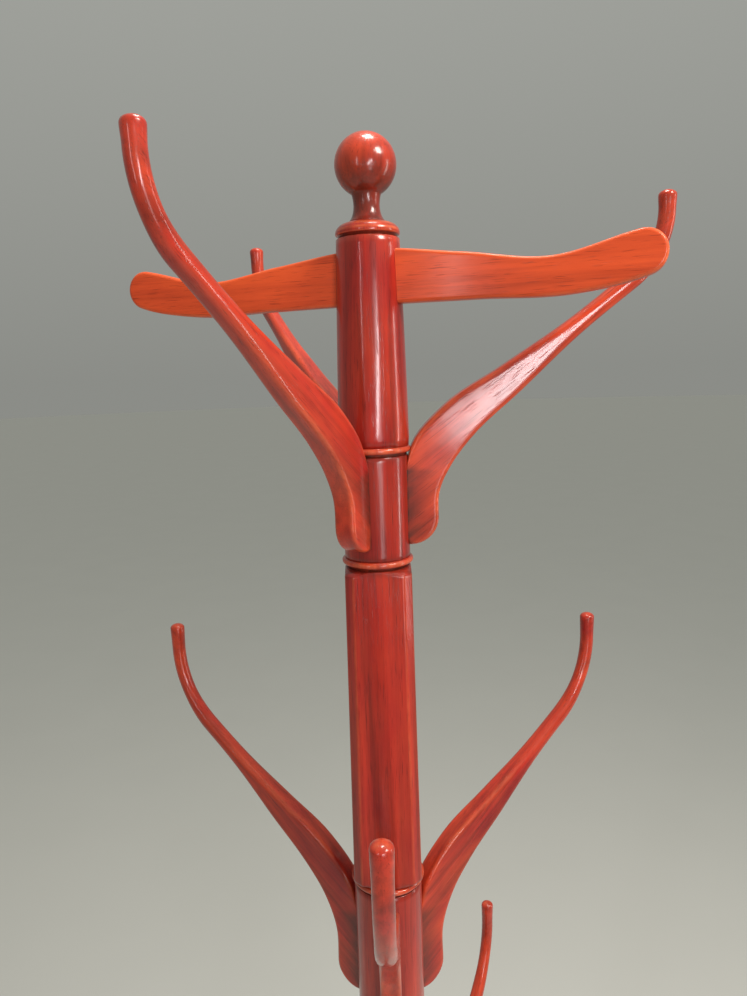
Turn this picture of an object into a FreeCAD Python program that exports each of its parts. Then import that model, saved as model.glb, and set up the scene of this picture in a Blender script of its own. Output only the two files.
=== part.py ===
import FreeCAD, Part

import math
import os

# Standing coat rack: a turned and squared wooden post on four curved legs, with three tiers of
# three S-shaped hook arms, a coat-hanger bar through the top of the post and a ball finial.
# Millimetres, +Z up, the floor at z = 0 and the post's axis on the Z axis.

V = FreeCAD.Vector
Z_AXIS = V(0, 0, 1)
SAME_PLACE = 0.01

# Heights of the joints in the post, from the top down.
TOTAL_HEIGHT = 1850.0
BALL_D = 50.0
CAP_TOP = 1781.0
CAP_UNDERSIDE = 1768.0
RING_H = 8.0
# Each tier: the underside of its upper bead ring, its hub's bottom, and the hub's radius.
TIER_RING_Z = (1592.0, 1192.0, 775.0)
HUB_BOTTOM_Z = (1504.0, 1050.0, 633.0)
HUB_R = (28.5, 31.5, 32.5)
LOWER_POST_BOTTOM = 270.0
BUTTON_BOTTOM = 240.0
BUTTON_SPIGOT_H = 25.0

# Post sections.
POST_TOP_R = 26.0
POST_MIDDLE_R = 28.4
POST_MIDDLE_Z = 1703.0
POST_BASE_R = 30.0
SQUARE_SIDES = ((57.0, 61.5), (62.0, 64.0), (65.0, 66.0))
SQUARE_CHAMFER = 7.0
SHOULDER_H = 18.0
RING_OVERHANG = 2.5
RING_NECK_H = 2.5
RING_NECK_INSET = 1.0

# Turned profiles: radii, and heights above the foot of the piece.
CAP_NECK = (24.0, 2.7)
CAP_EDGE_R = 25.5
CAP_EDGE_MIDDLE = (26.3, 4.2)
CAP_EDGE_TOP = (26.0, 6.0)
CAP_CROWN_MIDDLE = (23.0, 10.8)
CAP_CROWN_R = 16.0
FINIAL_FOOT_R = 13.5
FINIAL_FOOT_BEAD = (15.0, 2.2)
FINIAL_FOOT_H = 4.4
FINIAL_NECK = (10.5, 13.5)
FINIAL_NECK_TOP_R = 12.0
BUTTON_BEAD_R = 31.0
BUTTON_COVE_R = 28.0
BUTTON_BEAD_H = 6.0
BUTTON_BOWL_TOP_R = 24.0
BUTTON_BOWL_MIDDLE = (17.5, 6.0)
BUTTON_TIP_R = 6.0

# Hidden joints of the post.
SECTION_DOWEL_D = 24.0
SECTION_DOWEL_HALF = 35.0
FINIAL_DOWEL_D = 12.0
FINIAL_DOWEL_BOTTOM = 1690.0
FINIAL_DOWEL_TOP = 1806.0

# Coat-hanger bar: a board through a mortise in the upper post.
BAR_AZIMUTH = -19.0
BAR_THICKNESS = 16.0
BAR_TOP_Z = 1760.0
BAR_BOTTOM_Z = 1716.0
BAR_HALF_LENGTH = 229.0
BAR_END_R = 16.5
BAR_END_Z = 1741.0
BAR_WAIST_R = 148.0
BAR_WAIST_TOP_Z = 1743.5
BAR_NEAR_TOP = (80.0, 1751.5)
BAR_NEAR_BOTTOM = (90.0, 1715.5)
BAR_FAR_BOTTOM = (165.0, 1715.2)
BAR_ARRIS_R = 2.5
MORTISE_LOW_Z = 1715.2

# Hook arms: a sawn board that slims into a round rod with a rounded tip.
ARM_THICKNESS = 19.0
ARM_ROD_D = 13.5
ARM_TIP_D = 14.5
ARM_RUN_ANGLE = 37.5
ARM_BEND_DEPTH = 38.0
ARM_MIDDLE_DEPTH = 26.0
ARM_SLIM_DEPTH = 15.5
ARM_TAIL_DEPTH = 27.0
ARM_NECK_ANGLES = (37.5, 50.0, 62.0)
ARM_NECK_DEPTH = 14.5
NECK_MIDDLE = 14.8
NECK_MIDDLE_CORNER_R = 5.0
NECK_STEP = 0.2
ARM_ARRIS_R = 3.0
SEAT_DEPTH = 2.5
TAIL_INSET = 1.0
RING_CLEARANCE = 0.2
SHORT_END_MARGIN = 0.6
BEND_SLIMMING = 0.95
MIDDLE_SHARE = 0.33
SLIM_SHARE = 0.68
TIER_AZIMUTHS = ((0.0, 120.0, 240.0), (29.3, 149.3, 269.3), (60.0, 180.0, 300.0))
TIER_TIP_Z = (1799.0, 1403.0, 986.0)
TIER_REACH = (243.0, 252.5, 252.5)
TIER_TIP_STRAIGHT = (7.0, 19.0, 19.0)
TIER_LOWER_BEND_R = (73.0, 90.0, 90.0)
TIER_UPPER_BEND_R = (70.0, 100.0, 100.0)
TIER_TAIL_LENGTH = (45.0, 62.0, 62.0)
ARM_LOBE_R = 23.5
ARM_LOBE_OUT = 25.0
ARM_HEEL_RISE = 19.0
ARM_DOWEL_D = 8.0
ARM_DOWEL_LENGTH = 27.0
ARM_DOWEL_INNER_R = 15.0
ARM_DOWEL_LOW_SHARE = 0.35
ARM_DOWEL_HIGH_RISE = 4.0

# Legs: the arms' shape turned upside down, in heavier board.
LEG_COUNT = 4
LEG_THICKNESS = 28.0
LEG_TAIL_DEPTH = 36.0
LEG_BEND_DEPTH = 50.0
LEG_MIDDLE_DEPTH = 43.0
LEG_SLIM_DEPTH = 40.0
LEG_ANKLE_DEPTH = 38.0
LEG_FOOT_DEPTH = 34.0
LEG_REACH = 268.0
LEG_RUN_ANGLE = 42.0
LEG_BEND_R = 110.0
LEG_SEAT_R = 30.0
LEG_TAIL_LENGTH = 62.0
LEG_LOBE_R = 34.0
LEG_FOOT_STRAIGHT = 22.0
LEG_ARRIS_R = 4.0
LEG_HEEL_RISE = 26.0
LEG_SCREW_D = 6.0
LEG_SCREW_HEAD_D = 11.0
LEG_SCREW_HEAD_H = 3.5
LEG_SCREW_INNER_R = 13.0
LEG_SCREW_PITCH = 42.0
LEG_SCREW_DROP = 24.0
LEG_PLUG_D = 12.0
LEG_PLUG_H = 9.0

# Foot pads, nailed under the legs.
PAD_D = 27.0
PAD_H = 5.0
PAD_NAIL_D = 3.0
PAD_NAIL_LENGTH = 20.0
PAD_NAIL_HEAD_D = 7.0
PAD_NAIL_HEAD_H = 1.2
PAD_NAIL_RECESS = 1.5
PAD_RIM_R = 1.2


def export(node, shape):
    """Write one node, and stop if its solids are not sound."""
    for solid in shape.Solids:
        if not solid.isValid() or solid.Volume <= 0:
            raise ValueError(node + " is not a sound solid")
    shape.exportStep("parts/" + node + ".step")
    box = shape.BoundBox
    row = (node, len(shape.Solids), shape.Volume, box.ZMin, box.ZMax)
    print("%-24s %2d solid  %9.0f mm3  z %.1f..%.1f" % row)


def turned(edges):
    """Revolve a closed outline in the XZ plane about the post's axis."""
    face = Part.Face(Part.Wire(edges))
    return face.revolve(V(0, 0, 0), Z_AXIS, 360)


def line(a, b):
    return Part.LineSegment(V(a[0], 0, a[1]), V(b[0], 0, b[1])).toShape()


def arc(a, middle, b):
    return Part.Arc(V(a[0], 0, a[1]), V(middle[0], 0, middle[1]), V(b[0], 0, b[1])).toShape()


def spline(points, start=None, end=None):
    """A smooth edge through (radius, height) points, with headings at its two ends if given."""
    curve = Part.BSplineCurve()
    vectors = [V(r, 0, z) for r, z in points]
    if start is None:
        curve.interpolate(Points=vectors)
    else:
        tangents = [V(*heading_vector(start)), V(*heading_vector(end))]
        curve.interpolate(Points=vectors, InitialTangent=tangents[0], FinalTangent=tangents[1])
    return curve.toShape()


def heading_vector(angle):
    """A unit vector in the XZ plane, at an angle above the horizontal."""
    return (math.cos(math.radians(angle)), 0, math.sin(math.radians(angle)))


def cylinder(diameter, z_low, z_high):
    return Part.makeCylinder(diameter / 2, z_high - z_low, V(0, 0, z_low))


def radial_cylinder(diameter, r_inner, r_outer, z):
    return Part.makeCylinder(diameter / 2, r_outer - r_inner, V(r_inner, 0, z), V(1, 0, 0))


def turned_to(shape, azimuth):
    """A copy of a shape, turned about the post's axis."""
    return shape.rotated(V(0, 0, 0), Z_AXIS, azimuth)


# ---------------------------------------------------------------- hook arms and legs


def lower_bend(plank, heading):
    """Centre-line point on the bend that leaves the post, at a heading."""
    angle = math.radians(heading)
    r = plank["tail_r"] + plank["lower_bend_r"] * (1 - math.sin(angle))
    return (r, plank["bend_z"] + plank["lower_bend_r"] * math.cos(angle))


def upper_bend(plank, heading):
    """Centre-line point on the bend that turns up to the tip, at a heading."""
    angle = math.radians(heading)
    r = plank["reach"] - plank["upper_bend_r"] * (1 - math.sin(angle))
    return (r, plank["upper_z"] - plank["upper_bend_r"] * math.cos(angle))


def settle(plank):
    """Work out the height of the lower bend from the reach, the run's angle and the upper bend."""
    angle = math.radians(plank["run_angle"])
    bends = plank["lower_bend_r"] + plank["upper_bend_r"]
    run_out = plank["reach"] - plank["tail_r"] - bends * (1 - math.sin(angle))
    plank["bend_z"] = plank["upper_z"] - bends * math.cos(angle) - run_out * math.tan(angle)
    return plank


def offset(point, heading, distance):
    """Step sideways from a centre-line point: positive is the outer, lower side."""
    angle = math.radians(heading)
    return (point[0] + distance * math.sin(angle), point[1] - distance * math.cos(angle))


def between(start, end, share):
    """A point part of the way along a straight stretch."""
    return (start[0] + (end[0] - start[0]) * share, start[1] + (end[1] - start[1]) * share)


def stations(plank):
    """Centre-line stations up the board: point, heading and depth."""
    run = plank["run_angle"]
    start = lower_bend(plank, run)
    end = upper_bend(plank, run)
    bend_heading = (90 + run) / 2
    return [
        (lower_bend(plank, 90), 90, plank["tail_depth"]),
        (lower_bend(plank, bend_heading), bend_heading, plank["bend_depth"]),
        (start, run, plank["bend_depth"] * BEND_SLIMMING),
        (between(start, end, MIDDLE_SHARE), run, plank["middle_depth"]),
        (between(start, end, SLIM_SHARE), run, plank["slim_depth"]),
        (end, run, plank["end_depth"]),
    ]


def board(plank):
    """The sawn board: its side outline, given its thickness, with its long arrises eased."""
    steps = stations(plank)
    extra = plank["end_stations"]
    outer = [offset(p, h, d / 2) for p, h, d in steps + extra]
    inner = [offset(p, h, -d / 2) for p, h, d in steps[1:] + extra]
    heel = (plank["seat_r"], steps[0][0][1] + plank["heel_rise"])
    lobe_r = plank["lobe_r"]
    bottom_z = steps[0][0][1] - plank["tail_length"]
    tail_outer_r = plank["tail_end_r"]
    lobe_top = (tail_outer_r, bottom_z + lobe_r)
    corner_gap = lobe_r * (1 - math.sqrt(0.5))
    lobe_middle = (tail_outer_r - corner_gap, bottom_z + corner_gap)
    lobe_bottom = (tail_outer_r - lobe_r, bottom_z)
    seat_bottom = (plank["seat_r"], bottom_z)
    end_heading = (steps + extra)[-1][1]
    edges = [
        line(seat_bottom, heel),
        spline([heel] + inner),
        line(inner[-1], outer[-1]),
        spline(outer[::-1] + [lobe_top], end_heading + 180, 270),
        arc(lobe_top, lobe_middle, lobe_bottom),
    ]
    if lobe_bottom[0] - seat_bottom[0] > SAME_PLACE:
        edges.append(line(lobe_bottom, seat_bottom))
    face = Part.Face(Part.Wire(edges))
    half = plank["thickness"] / 2
    solid = face.extrude(V(0, 2 * half, 0))
    solid.translate(V(0, -half, 0))
    return eased(solid, plank, half)


def eased(solid, plank, half):
    """Round the long arrises of a board, except where it meets the post and at its upper end."""
    keep = []
    for edge in solid.Edges:
        box = edge.BoundBox
        on_side = abs(abs(box.YMin) - half) < SAME_PLACE and abs(box.YMin - box.YMax) < SAME_PLACE
        on_seat = box.XMax < plank["seat_r"] + SAME_PLACE
        short_end = edge.Length < plank["end_depth"] + SHORT_END_MARGIN and box.XMin > plank["tail_r"] * 2
        if on_side and not on_seat and not short_end:
            keep.append(edge)
    return solid.makeFillet(plank["arris_r"], keep)


def rounded_section(plank, heading, depth, width, corner_r):
    """A rounded rectangle across the centre line, for the neck between board and rod."""
    centre = upper_bend(plank, heading)
    out = V(math.sin(math.radians(heading)), 0, -math.cos(math.radians(heading)))
    side = V(0, 1, 0)
    origin = V(centre[0], 0, centre[1])
    a = depth / 2 - corner_r
    b = width / 2 - corner_r
    edges = []
    corners = ((1, 1, 0), (-1, 1, 90), (-1, -1, 180), (1, -1, 270))
    arcs = []
    for sign_a, sign_b, start in corners:
        points = []
        for angle in (start, start + 45, start + 90):
            u = sign_a * a + corner_r * math.cos(math.radians(angle))
            v = sign_b * b + corner_r * math.sin(math.radians(angle))
            points.append(origin + out * u + side * v)
        arcs.append(points)
    for index, points in enumerate(arcs):
        edges.append(Part.Arc(*points).toShape())
        edges.append(Part.LineSegment(points[2], arcs[(index + 1) % 4][0]).toShape())
    return Part.Wire(edges)


def rod(plank):
    """The round end of an arm: a bent rod, then a straight stretch that swells to a domed tip."""
    start = plank["neck_angles"][-1]
    reach = plank["reach"]
    low = plank["upper_z"]
    bend_centre = V(reach - plank["upper_bend_r"], 0, low)
    section = Part.makeCircle(ARM_ROD_D / 2, V(reach, 0, low), Z_AXIS)
    bent = Part.Face(Part.Wire(section)).revolve(bend_centre, V(0, 1, 0), 90 - start)
    tip_r = ARM_TIP_D / 2
    dome_z = plank["tip_z"] - tip_r
    shoulder = tip_r * math.sqrt(0.5)
    tip = turned([
        line((0, low), (ARM_ROD_D / 2, low)),
        line((ARM_ROD_D / 2, low), (tip_r, dome_z)),
        arc((tip_r, dome_z), (shoulder, dome_z + shoulder), (0, plank["tip_z"])),
        line((0, plank["tip_z"]), (0, low)),
    ])
    tip.translate(V(reach, 0, 0))
    return bent.fuse(tip)


def neck(plank):
    """The stretch where the board's section turns round. Its ends sit just inside its neighbours."""
    first, second, third = plank["neck_angles"]
    step = 2 * NECK_STEP
    rod_d = ARM_ROD_D - step
    sections = [
        rounded_section(plank, first, ARM_NECK_DEPTH - step, ARM_THICKNESS - step, ARM_ARRIS_R),
        rounded_section(plank, second, NECK_MIDDLE, NECK_MIDDLE, NECK_MIDDLE_CORNER_R),
        rounded_section(plank, third, rod_d, rod_d, rod_d / 2 - 0.1),
    ]
    return Part.makeLoft(sections, True, False)


def arm_plank(tier):
    hub_r = HUB_R[tier]
    seat_r = hub_r - SEAT_DEPTH
    tip_z = TIER_TIP_Z[tier]
    return settle({
        "seat_r": seat_r,
        "tail_r": hub_r - TAIL_INSET + ARM_TAIL_DEPTH / 2,
        "tail_depth": ARM_TAIL_DEPTH,
        "bend_depth": ARM_BEND_DEPTH,
        "middle_depth": ARM_MIDDLE_DEPTH,
        "slim_depth": ARM_SLIM_DEPTH,
        "end_depth": ARM_NECK_DEPTH,
        "end_stations": [],
        "thickness": ARM_THICKNESS,
        "arris_r": ARM_ARRIS_R,
        "reach": TIER_REACH[tier],
        "run_angle": ARM_RUN_ANGLE,
        "lower_bend_r": TIER_LOWER_BEND_R[tier],
        "upper_bend_r": TIER_UPPER_BEND_R[tier],
        "upper_z": tip_z - ARM_TIP_D / 2 - TIER_TIP_STRAIGHT[tier],
        "tip_z": tip_z,
        "heel_rise": ARM_HEEL_RISE,
        "tail_length": TIER_TAIL_LENGTH[tier],
        "lobe_r": ARM_LOBE_R,
        "tail_end_r": hub_r + ARM_LOBE_OUT,
        "neck_angles": ARM_NECK_ANGLES,
    })


def hook_arm(tier):
    plank = arm_plank(tier)
    arm = board(plank).fuse([neck(plank), rod(plank)]).removeSplitter()
    ring_z = TIER_RING_Z[tier]
    return arm.cut(cylinder(2 * (ring_r(tier, True) + RING_CLEARANCE), ring_z, ring_z + RING_H))


def dowel_heights(tier):
    """The two hidden dowels of an arm, between the foot of its tail and its heel."""
    plank = arm_plank(tier)
    foot = plank["bend_z"] - plank["tail_length"]
    return (foot + ARM_DOWEL_LOW_SHARE * plank["tail_length"], plank["bend_z"] + ARM_DOWEL_HIGH_RISE)


def arm_dowels(tier):
    inner = ARM_DOWEL_INNER_R
    solids = []
    for azimuth in TIER_AZIMUTHS[tier]:
        for z in dowel_heights(tier):
            dowel = radial_cylinder(ARM_DOWEL_D, inner, inner + ARM_DOWEL_LENGTH, z)
            solids.append(turned_to(dowel, azimuth))
    return Part.makeCompound(solids)


def leg_plank():
    """A leg is laid out with its foot upwards, and is turned over afterwards."""
    end_z = -(PAD_H + LEG_FOOT_STRAIGHT)
    foot = (LEG_REACH, -PAD_H)
    return settle({
        "seat_r": LEG_SEAT_R,
        "tail_r": LEG_SEAT_R + TAIL_INSET + LEG_TAIL_DEPTH / 2,
        "tail_depth": LEG_TAIL_DEPTH,
        "bend_depth": LEG_BEND_DEPTH,
        "middle_depth": LEG_MIDDLE_DEPTH,
        "slim_depth": LEG_SLIM_DEPTH,
        "end_depth": LEG_ANKLE_DEPTH,
        "end_stations": [
            ((LEG_REACH, end_z), 90, LEG_FOOT_DEPTH),
            (foot, 90, LEG_FOOT_DEPTH),
        ],
        "thickness": LEG_THICKNESS,
        "arris_r": LEG_ARRIS_R,
        "reach": LEG_REACH,
        "run_angle": LEG_RUN_ANGLE,
        "lower_bend_r": LEG_BEND_R,
        "upper_bend_r": LEG_BEND_R,
        "upper_z": end_z,
        "heel_rise": LEG_HEEL_RISE,
        "tail_length": LEG_TAIL_LENGTH,
        "lobe_r": LEG_LOBE_R,
        "tail_end_r": LEG_SEAT_R + LEG_TAIL_DEPTH,
    })


def leg_screw_heights():
    upper = LEG_TAIL_LENGTH - leg_plank()["bend_z"] - LEG_SCREW_DROP
    return (upper, upper - LEG_SCREW_PITCH)


def screw(z):
    head_r = LEG_SEAT_R + LEG_TAIL_DEPTH - LEG_PLUG_H - LEG_SCREW_HEAD_H
    shank = radial_cylinder(LEG_SCREW_D, LEG_SCREW_INNER_R, head_r, z)
    seat = V(head_r, 0, z)
    head = Part.makeCone(LEG_SCREW_D / 2, LEG_SCREW_HEAD_D / 2, LEG_SCREW_HEAD_H, seat, V(1, 0, 0))
    return shank.fuse(head)


def plug(z):
    outer = LEG_SEAT_R + LEG_TAIL_DEPTH
    return radial_cylinder(LEG_PLUG_D, outer - LEG_PLUG_H, outer, z)


def pad_nail():
    head = Part.makeCylinder(PAD_NAIL_HEAD_D / 2, PAD_NAIL_HEAD_H, V(LEG_REACH, 0, PAD_NAIL_RECESS))
    shank = Part.makeCylinder(PAD_NAIL_D / 2, PAD_NAIL_LENGTH, V(LEG_REACH, 0, PAD_NAIL_RECESS))
    return head.fuse(shank)


def foot_pad():
    pad = Part.makeCylinder(PAD_D / 2, PAD_H, V(LEG_REACH, 0, 0))
    rim = [edge for edge in pad.Edges if abs(edge.BoundBox.ZMax) < SAME_PLACE]
    pad = pad.makeFillet(PAD_RIM_R, rim)
    recess = Part.makeCylinder(PAD_NAIL_HEAD_D / 2, PAD_NAIL_RECESS, V(LEG_REACH, 0, 0))
    return pad.cut(recess).cut(pad_nail())


def leg():
    laid_out = board(leg_plank())
    turned_over = laid_out.mirror(V(0, 0, 0), Z_AXIS)
    tools = [pad_nail()]
    for z in leg_screw_heights():
        tools.append(screw(z))
        tools.append(plug(z))
    return turned_over.cut(tools)


# ---------------------------------------------------------------- the post


def ring_r(tier, upper):
    """The radius of a bead ring: the wider of its two neighbours, and its overhang."""
    square_half = SQUARE_SIDES[tier][0] / 2
    neighbour = HUB_R[tier] if upper else max(HUB_R[tier], square_half)
    return neighbour + RING_OVERHANG


def bead_ring(z, radius):
    """A turned ring: a half-round bead above a narrow neck, bored for the dowel."""
    bead = (RING_H - RING_NECK_H) / 2
    neck_r = radius - RING_OVERHANG - RING_NECK_INSET
    bore = SECTION_DOWEL_D / 2
    low = z + RING_NECK_H
    high = z + RING_H
    return turned([
        line((bore, z), (neck_r, z)),
        line((neck_r, z), (neck_r, low)),
        line((neck_r, low), (radius - bead, low)),
        arc((radius - bead, low), (radius, low + bead), (radius - bead, high)),
        line((radius - bead, high), (bore, high)),
        line((bore, high), (bore, z)),
    ])


def upper_post():
    bottom = TIER_RING_Z[0] + RING_H
    outline = [
        line((0, bottom), (POST_BASE_R, bottom)),
        arc((POST_BASE_R, bottom), (POST_MIDDLE_R, POST_MIDDLE_Z), (POST_TOP_R, CAP_UNDERSIDE)),
        line((POST_TOP_R, CAP_UNDERSIDE), (0, CAP_UNDERSIDE)),
        line((0, CAP_UNDERSIDE), (0, bottom)),
    ]
    return turned(outline)


def hub(tier):
    return cylinder(2 * HUB_R[tier], HUB_BOTTOM_Z[tier], TIER_RING_Z[tier])


def chamfered_square(side, z):
    """A square with its corners cut off, as a closed wire."""
    half = side / 2
    flat = half - SQUARE_CHAMFER
    signs = ((half, flat), (flat, half), (-flat, half), (-half, flat))
    points = [V(x, y, z) for x, y in signs] + [V(-x, -y, z) for x, y in signs]
    return Part.makePolygon(points + [points[0]])


def square_post(side_low, side_high, z_low, z_high, shoulder_low=True):
    """A tapered square section with turned shoulders at its ends."""
    sections = [chamfered_square(side_low, z_low), chamfered_square(side_high, z_high)]
    shaft = Part.makeLoft(sections, True, True)
    corner = side_low
    end_high = side_high / 2
    end_low = side_low / 2 if shoulder_low else corner
    envelope = [
        line((0, z_low), (end_low, z_low)),
        line((end_low, z_low), (corner, z_low + SHOULDER_H)),
        line((corner, z_low + SHOULDER_H), (corner, z_high - SHOULDER_H)),
        line((corner, z_high - SHOULDER_H), (end_high, z_high)),
        line((end_high, z_high), (0, z_high)),
        line((0, z_high), (0, z_low)),
    ]
    return shaft.common(turned(envelope))


def section_dowel(z):
    return cylinder(SECTION_DOWEL_D, z - SECTION_DOWEL_HALF, z + SECTION_DOWEL_HALF)


def finial_dowel():
    return cylinder(FINIAL_DOWEL_D, FINIAL_DOWEL_BOTTOM, FINIAL_DOWEL_TOP)


def above(point, foot):
    """A (radius, height) point of a turned profile, raised on the foot of its piece."""
    return (point[0], point[1] + foot)


def top_cap():
    """The turned cap: a narrow neck, a square edge and a rounded top."""
    low = CAP_UNDERSIDE
    bore = FINIAL_DOWEL_D / 2
    neck_top = above(CAP_NECK, low)
    edge_low = (CAP_EDGE_R, neck_top[1])
    edge_top = above(CAP_EDGE_TOP, low)
    crown = (CAP_CROWN_R, CAP_TOP)
    return turned([
        line((bore, low), (CAP_NECK[0], low)),
        line((CAP_NECK[0], low), neck_top),
        line(neck_top, edge_low),
        arc(edge_low, above(CAP_EDGE_MIDDLE, low), edge_top),
        arc(edge_top, above(CAP_CROWN_MIDDLE, low), crown),
        line(crown, (bore, CAP_TOP)),
        line((bore, CAP_TOP), (bore, low)),
    ])


def finial():
    """The ball finial, with its neck and foot bead, bored for its dowel."""
    ball_r = BALL_D / 2
    centre_z = TOTAL_HEIGHT - ball_r
    neck_top = (FINIAL_NECK_TOP_R, centre_z - math.sqrt(ball_r ** 2 - FINIAL_NECK_TOP_R ** 2))
    foot = CAP_TOP
    bead_low = (FINIAL_FOOT_R, foot)
    bead_high = (FINIAL_FOOT_R, foot + FINIAL_FOOT_H)
    shape = turned([
        line((0, foot), bead_low),
        arc(bead_low, above(FINIAL_FOOT_BEAD, foot), bead_high),
        spline([bead_high, above(FINIAL_NECK, foot), neck_top]),
        arc(neck_top, (ball_r, centre_z), (0, TOTAL_HEIGHT)),
        line((0, TOTAL_HEIGHT), (0, foot)),
    ])
    return shape.cut(finial_dowel())


def bottom_button():
    """The turned drop under the lower post, with the spigot that glues into it."""
    top = LOWER_POST_BOTTOM
    spigot_r = SECTION_DOWEL_D / 2
    spigot_top = top + BUTTON_SPIGOT_H
    bead_low = (BUTTON_COVE_R, top - BUTTON_BEAD_H)
    bowl_top = (BUTTON_BOWL_TOP_R, top - BUTTON_BEAD_H)
    tip = (BUTTON_TIP_R, BUTTON_BOTTOM)
    return turned([
        line((0, spigot_top), (spigot_r, spigot_top)),
        line((spigot_r, spigot_top), (spigot_r, top)),
        line((spigot_r, top), (BUTTON_COVE_R, top)),
        arc((BUTTON_COVE_R, top), (BUTTON_BEAD_R, top - BUTTON_BEAD_H / 2), bead_low),
        line(bead_low, bowl_top),
        arc(bowl_top, above(BUTTON_BOWL_MIDDLE, BUTTON_BOTTOM), tip),
        line(tip, (0, BUTTON_BOTTOM)),
        line((0, BUTTON_BOTTOM), (0, spigot_top)),
    ])


def button_spigot():
    return cylinder(SECTION_DOWEL_D, LOWER_POST_BOTTOM, LOWER_POST_BOTTOM + BUTTON_SPIGOT_H)


# ---------------------------------------------------------------- the coat-hanger bar


def bar_half_edges(side):
    """One half of the bar's outline: its top edge, its round end and its bottom edge."""
    centre = (BAR_HALF_LENGTH - BAR_END_R, BAR_END_Z)

    def on_end(angle):
        return (
            side * (centre[0] + BAR_END_R * math.cos(math.radians(angle))),
            centre[1] + BAR_END_R * math.sin(math.radians(angle)),
        )

    def on_side(point):
        return (side * point[0], point[1])

    def heading(angle):
        return angle if side > 0 else 180 - angle

    top = spline(
        [(0, BAR_TOP_Z), on_side(BAR_NEAR_TOP), (side * BAR_WAIST_R, BAR_WAIST_TOP_Z), on_end(100)],
        heading(0), heading(10))
    end = arc(on_end(100), on_end(15), on_end(-70))
    bottom = spline(
        [on_end(-70), on_side(BAR_FAR_BOTTOM), on_side(BAR_NEAR_BOTTOM), (0, BAR_BOTTOM_Z)],
        heading(200), heading(180))
    return [top, end, bottom]


def hanger_board():
    edges = bar_half_edges(1) + bar_half_edges(-1)
    face = Part.Face(Part.Wire(Part.__sortEdges__(edges)))
    solid = face.extrude(V(0, BAR_THICKNESS, 0))
    solid.translate(V(0, -BAR_THICKNESS / 2, 0))
    arrises = []
    for edge in solid.Edges:
        box = edge.BoundBox
        if abs(box.YMin - box.YMax) < SAME_PLACE:
            arrises.append(edge)
    return turned_to(solid.makeFillet(BAR_ARRIS_R, arrises), BAR_AZIMUTH)


def bar_mortise():
    """The slot through the post, which the middle of the bar fills."""
    width = 4 * POST_BASE_R
    box = Part.makeBox(width, BAR_THICKNESS, BAR_TOP_Z - MORTISE_LOW_Z)
    box.translate(V(-width / 2, -BAR_THICKNESS / 2, MORTISE_LOW_Z))
    return turned_to(box, BAR_AZIMUTH)


# ---------------------------------------------------------------- writing the nodes


def make_arms():
    for tier, azimuths in enumerate(TIER_AZIMUTHS):
        dowels = arm_dowels(tier)
        blank = hook_arm(tier)
        for index, azimuth in enumerate(azimuths):
            arm = turned_to(blank, azimuth).cut(dowels)
            export("tier_%d_arm_%d" % (tier + 1, index + 1), arm)
        export("tier_%d_dowels" % (tier + 1), dowels)


def make_post():
    export("finial", finial())
    export("finial_dowel", finial_dowel())
    export("top_cap", top_cap())
    export("hanger_bar", hanger_board().cut(finial_dowel()))
    ring_middles = []
    for tier in range(3):
        ring_z = TIER_RING_Z[tier]
        lower_ring_z = HUB_BOTTOM_Z[tier] - RING_H
        ring_middles += [ring_z + RING_H / 2, lower_ring_z + RING_H / 2]
        export("bead_ring_%d" % (2 * tier + 1), bead_ring(ring_z, ring_r(tier, True)))
        export("bead_ring_%d" % (2 * tier + 2), bead_ring(lower_ring_z, ring_r(tier, False)))
    dowels = Part.makeCompound([section_dowel(z) for z in ring_middles])
    export("section_dowels", dowels)
    post = upper_post().cut(bar_mortise()).cut(finial_dowel()).cut(dowels)
    export("upper_post", post)
    for tier in range(3):
        arms = [turned_to(hook_arm(tier), azimuth) for azimuth in TIER_AZIMUTHS[tier]]
        export("hook_hub_%d" % (tier + 1), hub(tier).cut(arms).cut(arm_dowels(tier)).cut(dowels))
    bottoms = (TIER_RING_Z[1] + RING_H, TIER_RING_Z[2] + RING_H)
    for index, bottom in enumerate(bottoms):
        high, low = SQUARE_SIDES[index]
        top = HUB_BOTTOM_Z[index] - RING_H
        export("square_post_%d" % (index + 1), square_post(low, high, bottom, top).cut(dowels))
    return dowels


def make_base(dowels):
    high, low = SQUARE_SIDES[2]
    top = HUB_BOTTOM_Z[2] - RING_H
    post = square_post(low, high, LOWER_POST_BOTTOM, top, shoulder_low=False)
    one_leg = leg()
    screws = [screw(z) for z in leg_screw_heights()]
    plugs = [plug(z) for z in leg_screw_heights()]
    azimuths = [index * 360 / LEG_COUNT for index in range(LEG_COUNT)]
    all_screws = [turned_to(solid, azimuth) for azimuth in azimuths for solid in screws]
    all_plugs = [turned_to(solid, azimuth) for azimuth in azimuths for solid in plugs]
    legs = [turned_to(one_leg, azimuth) for azimuth in azimuths]
    export("lower_post", post.cut(dowels).cut(legs).cut(all_screws).cut(button_spigot()))
    export("bottom_button", bottom_button())
    for index, azimuth in enumerate(azimuths):
        export("leg_%d" % (index + 1), legs[index])
        export("foot_pad_%d" % (index + 1), turned_to(foot_pad(), azimuth))
    export("leg_screws", Part.makeCompound(all_screws))
    export("leg_screw_plugs", Part.makeCompound(all_plugs))
    export("foot_pad_nails", Part.makeCompound([turned_to(pad_nail(), azimuth) for azimuth in azimuths]))


os.makedirs("parts", exist_ok=True)
make_arms()
make_base(make_post())
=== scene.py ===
"""A standing coat rack: a turned and squared post with hook arms, a hanger bar, legs and a ball finial."""

import math

import bmesh
import bpy
from bpy.props import FloatProperty, FloatVectorProperty, PointerProperty
from bpy.types import Operator, Panel, PropertyGroup
from mathutils import Matrix, Vector
from mathutils.geometry import interpolate_bezier


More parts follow.
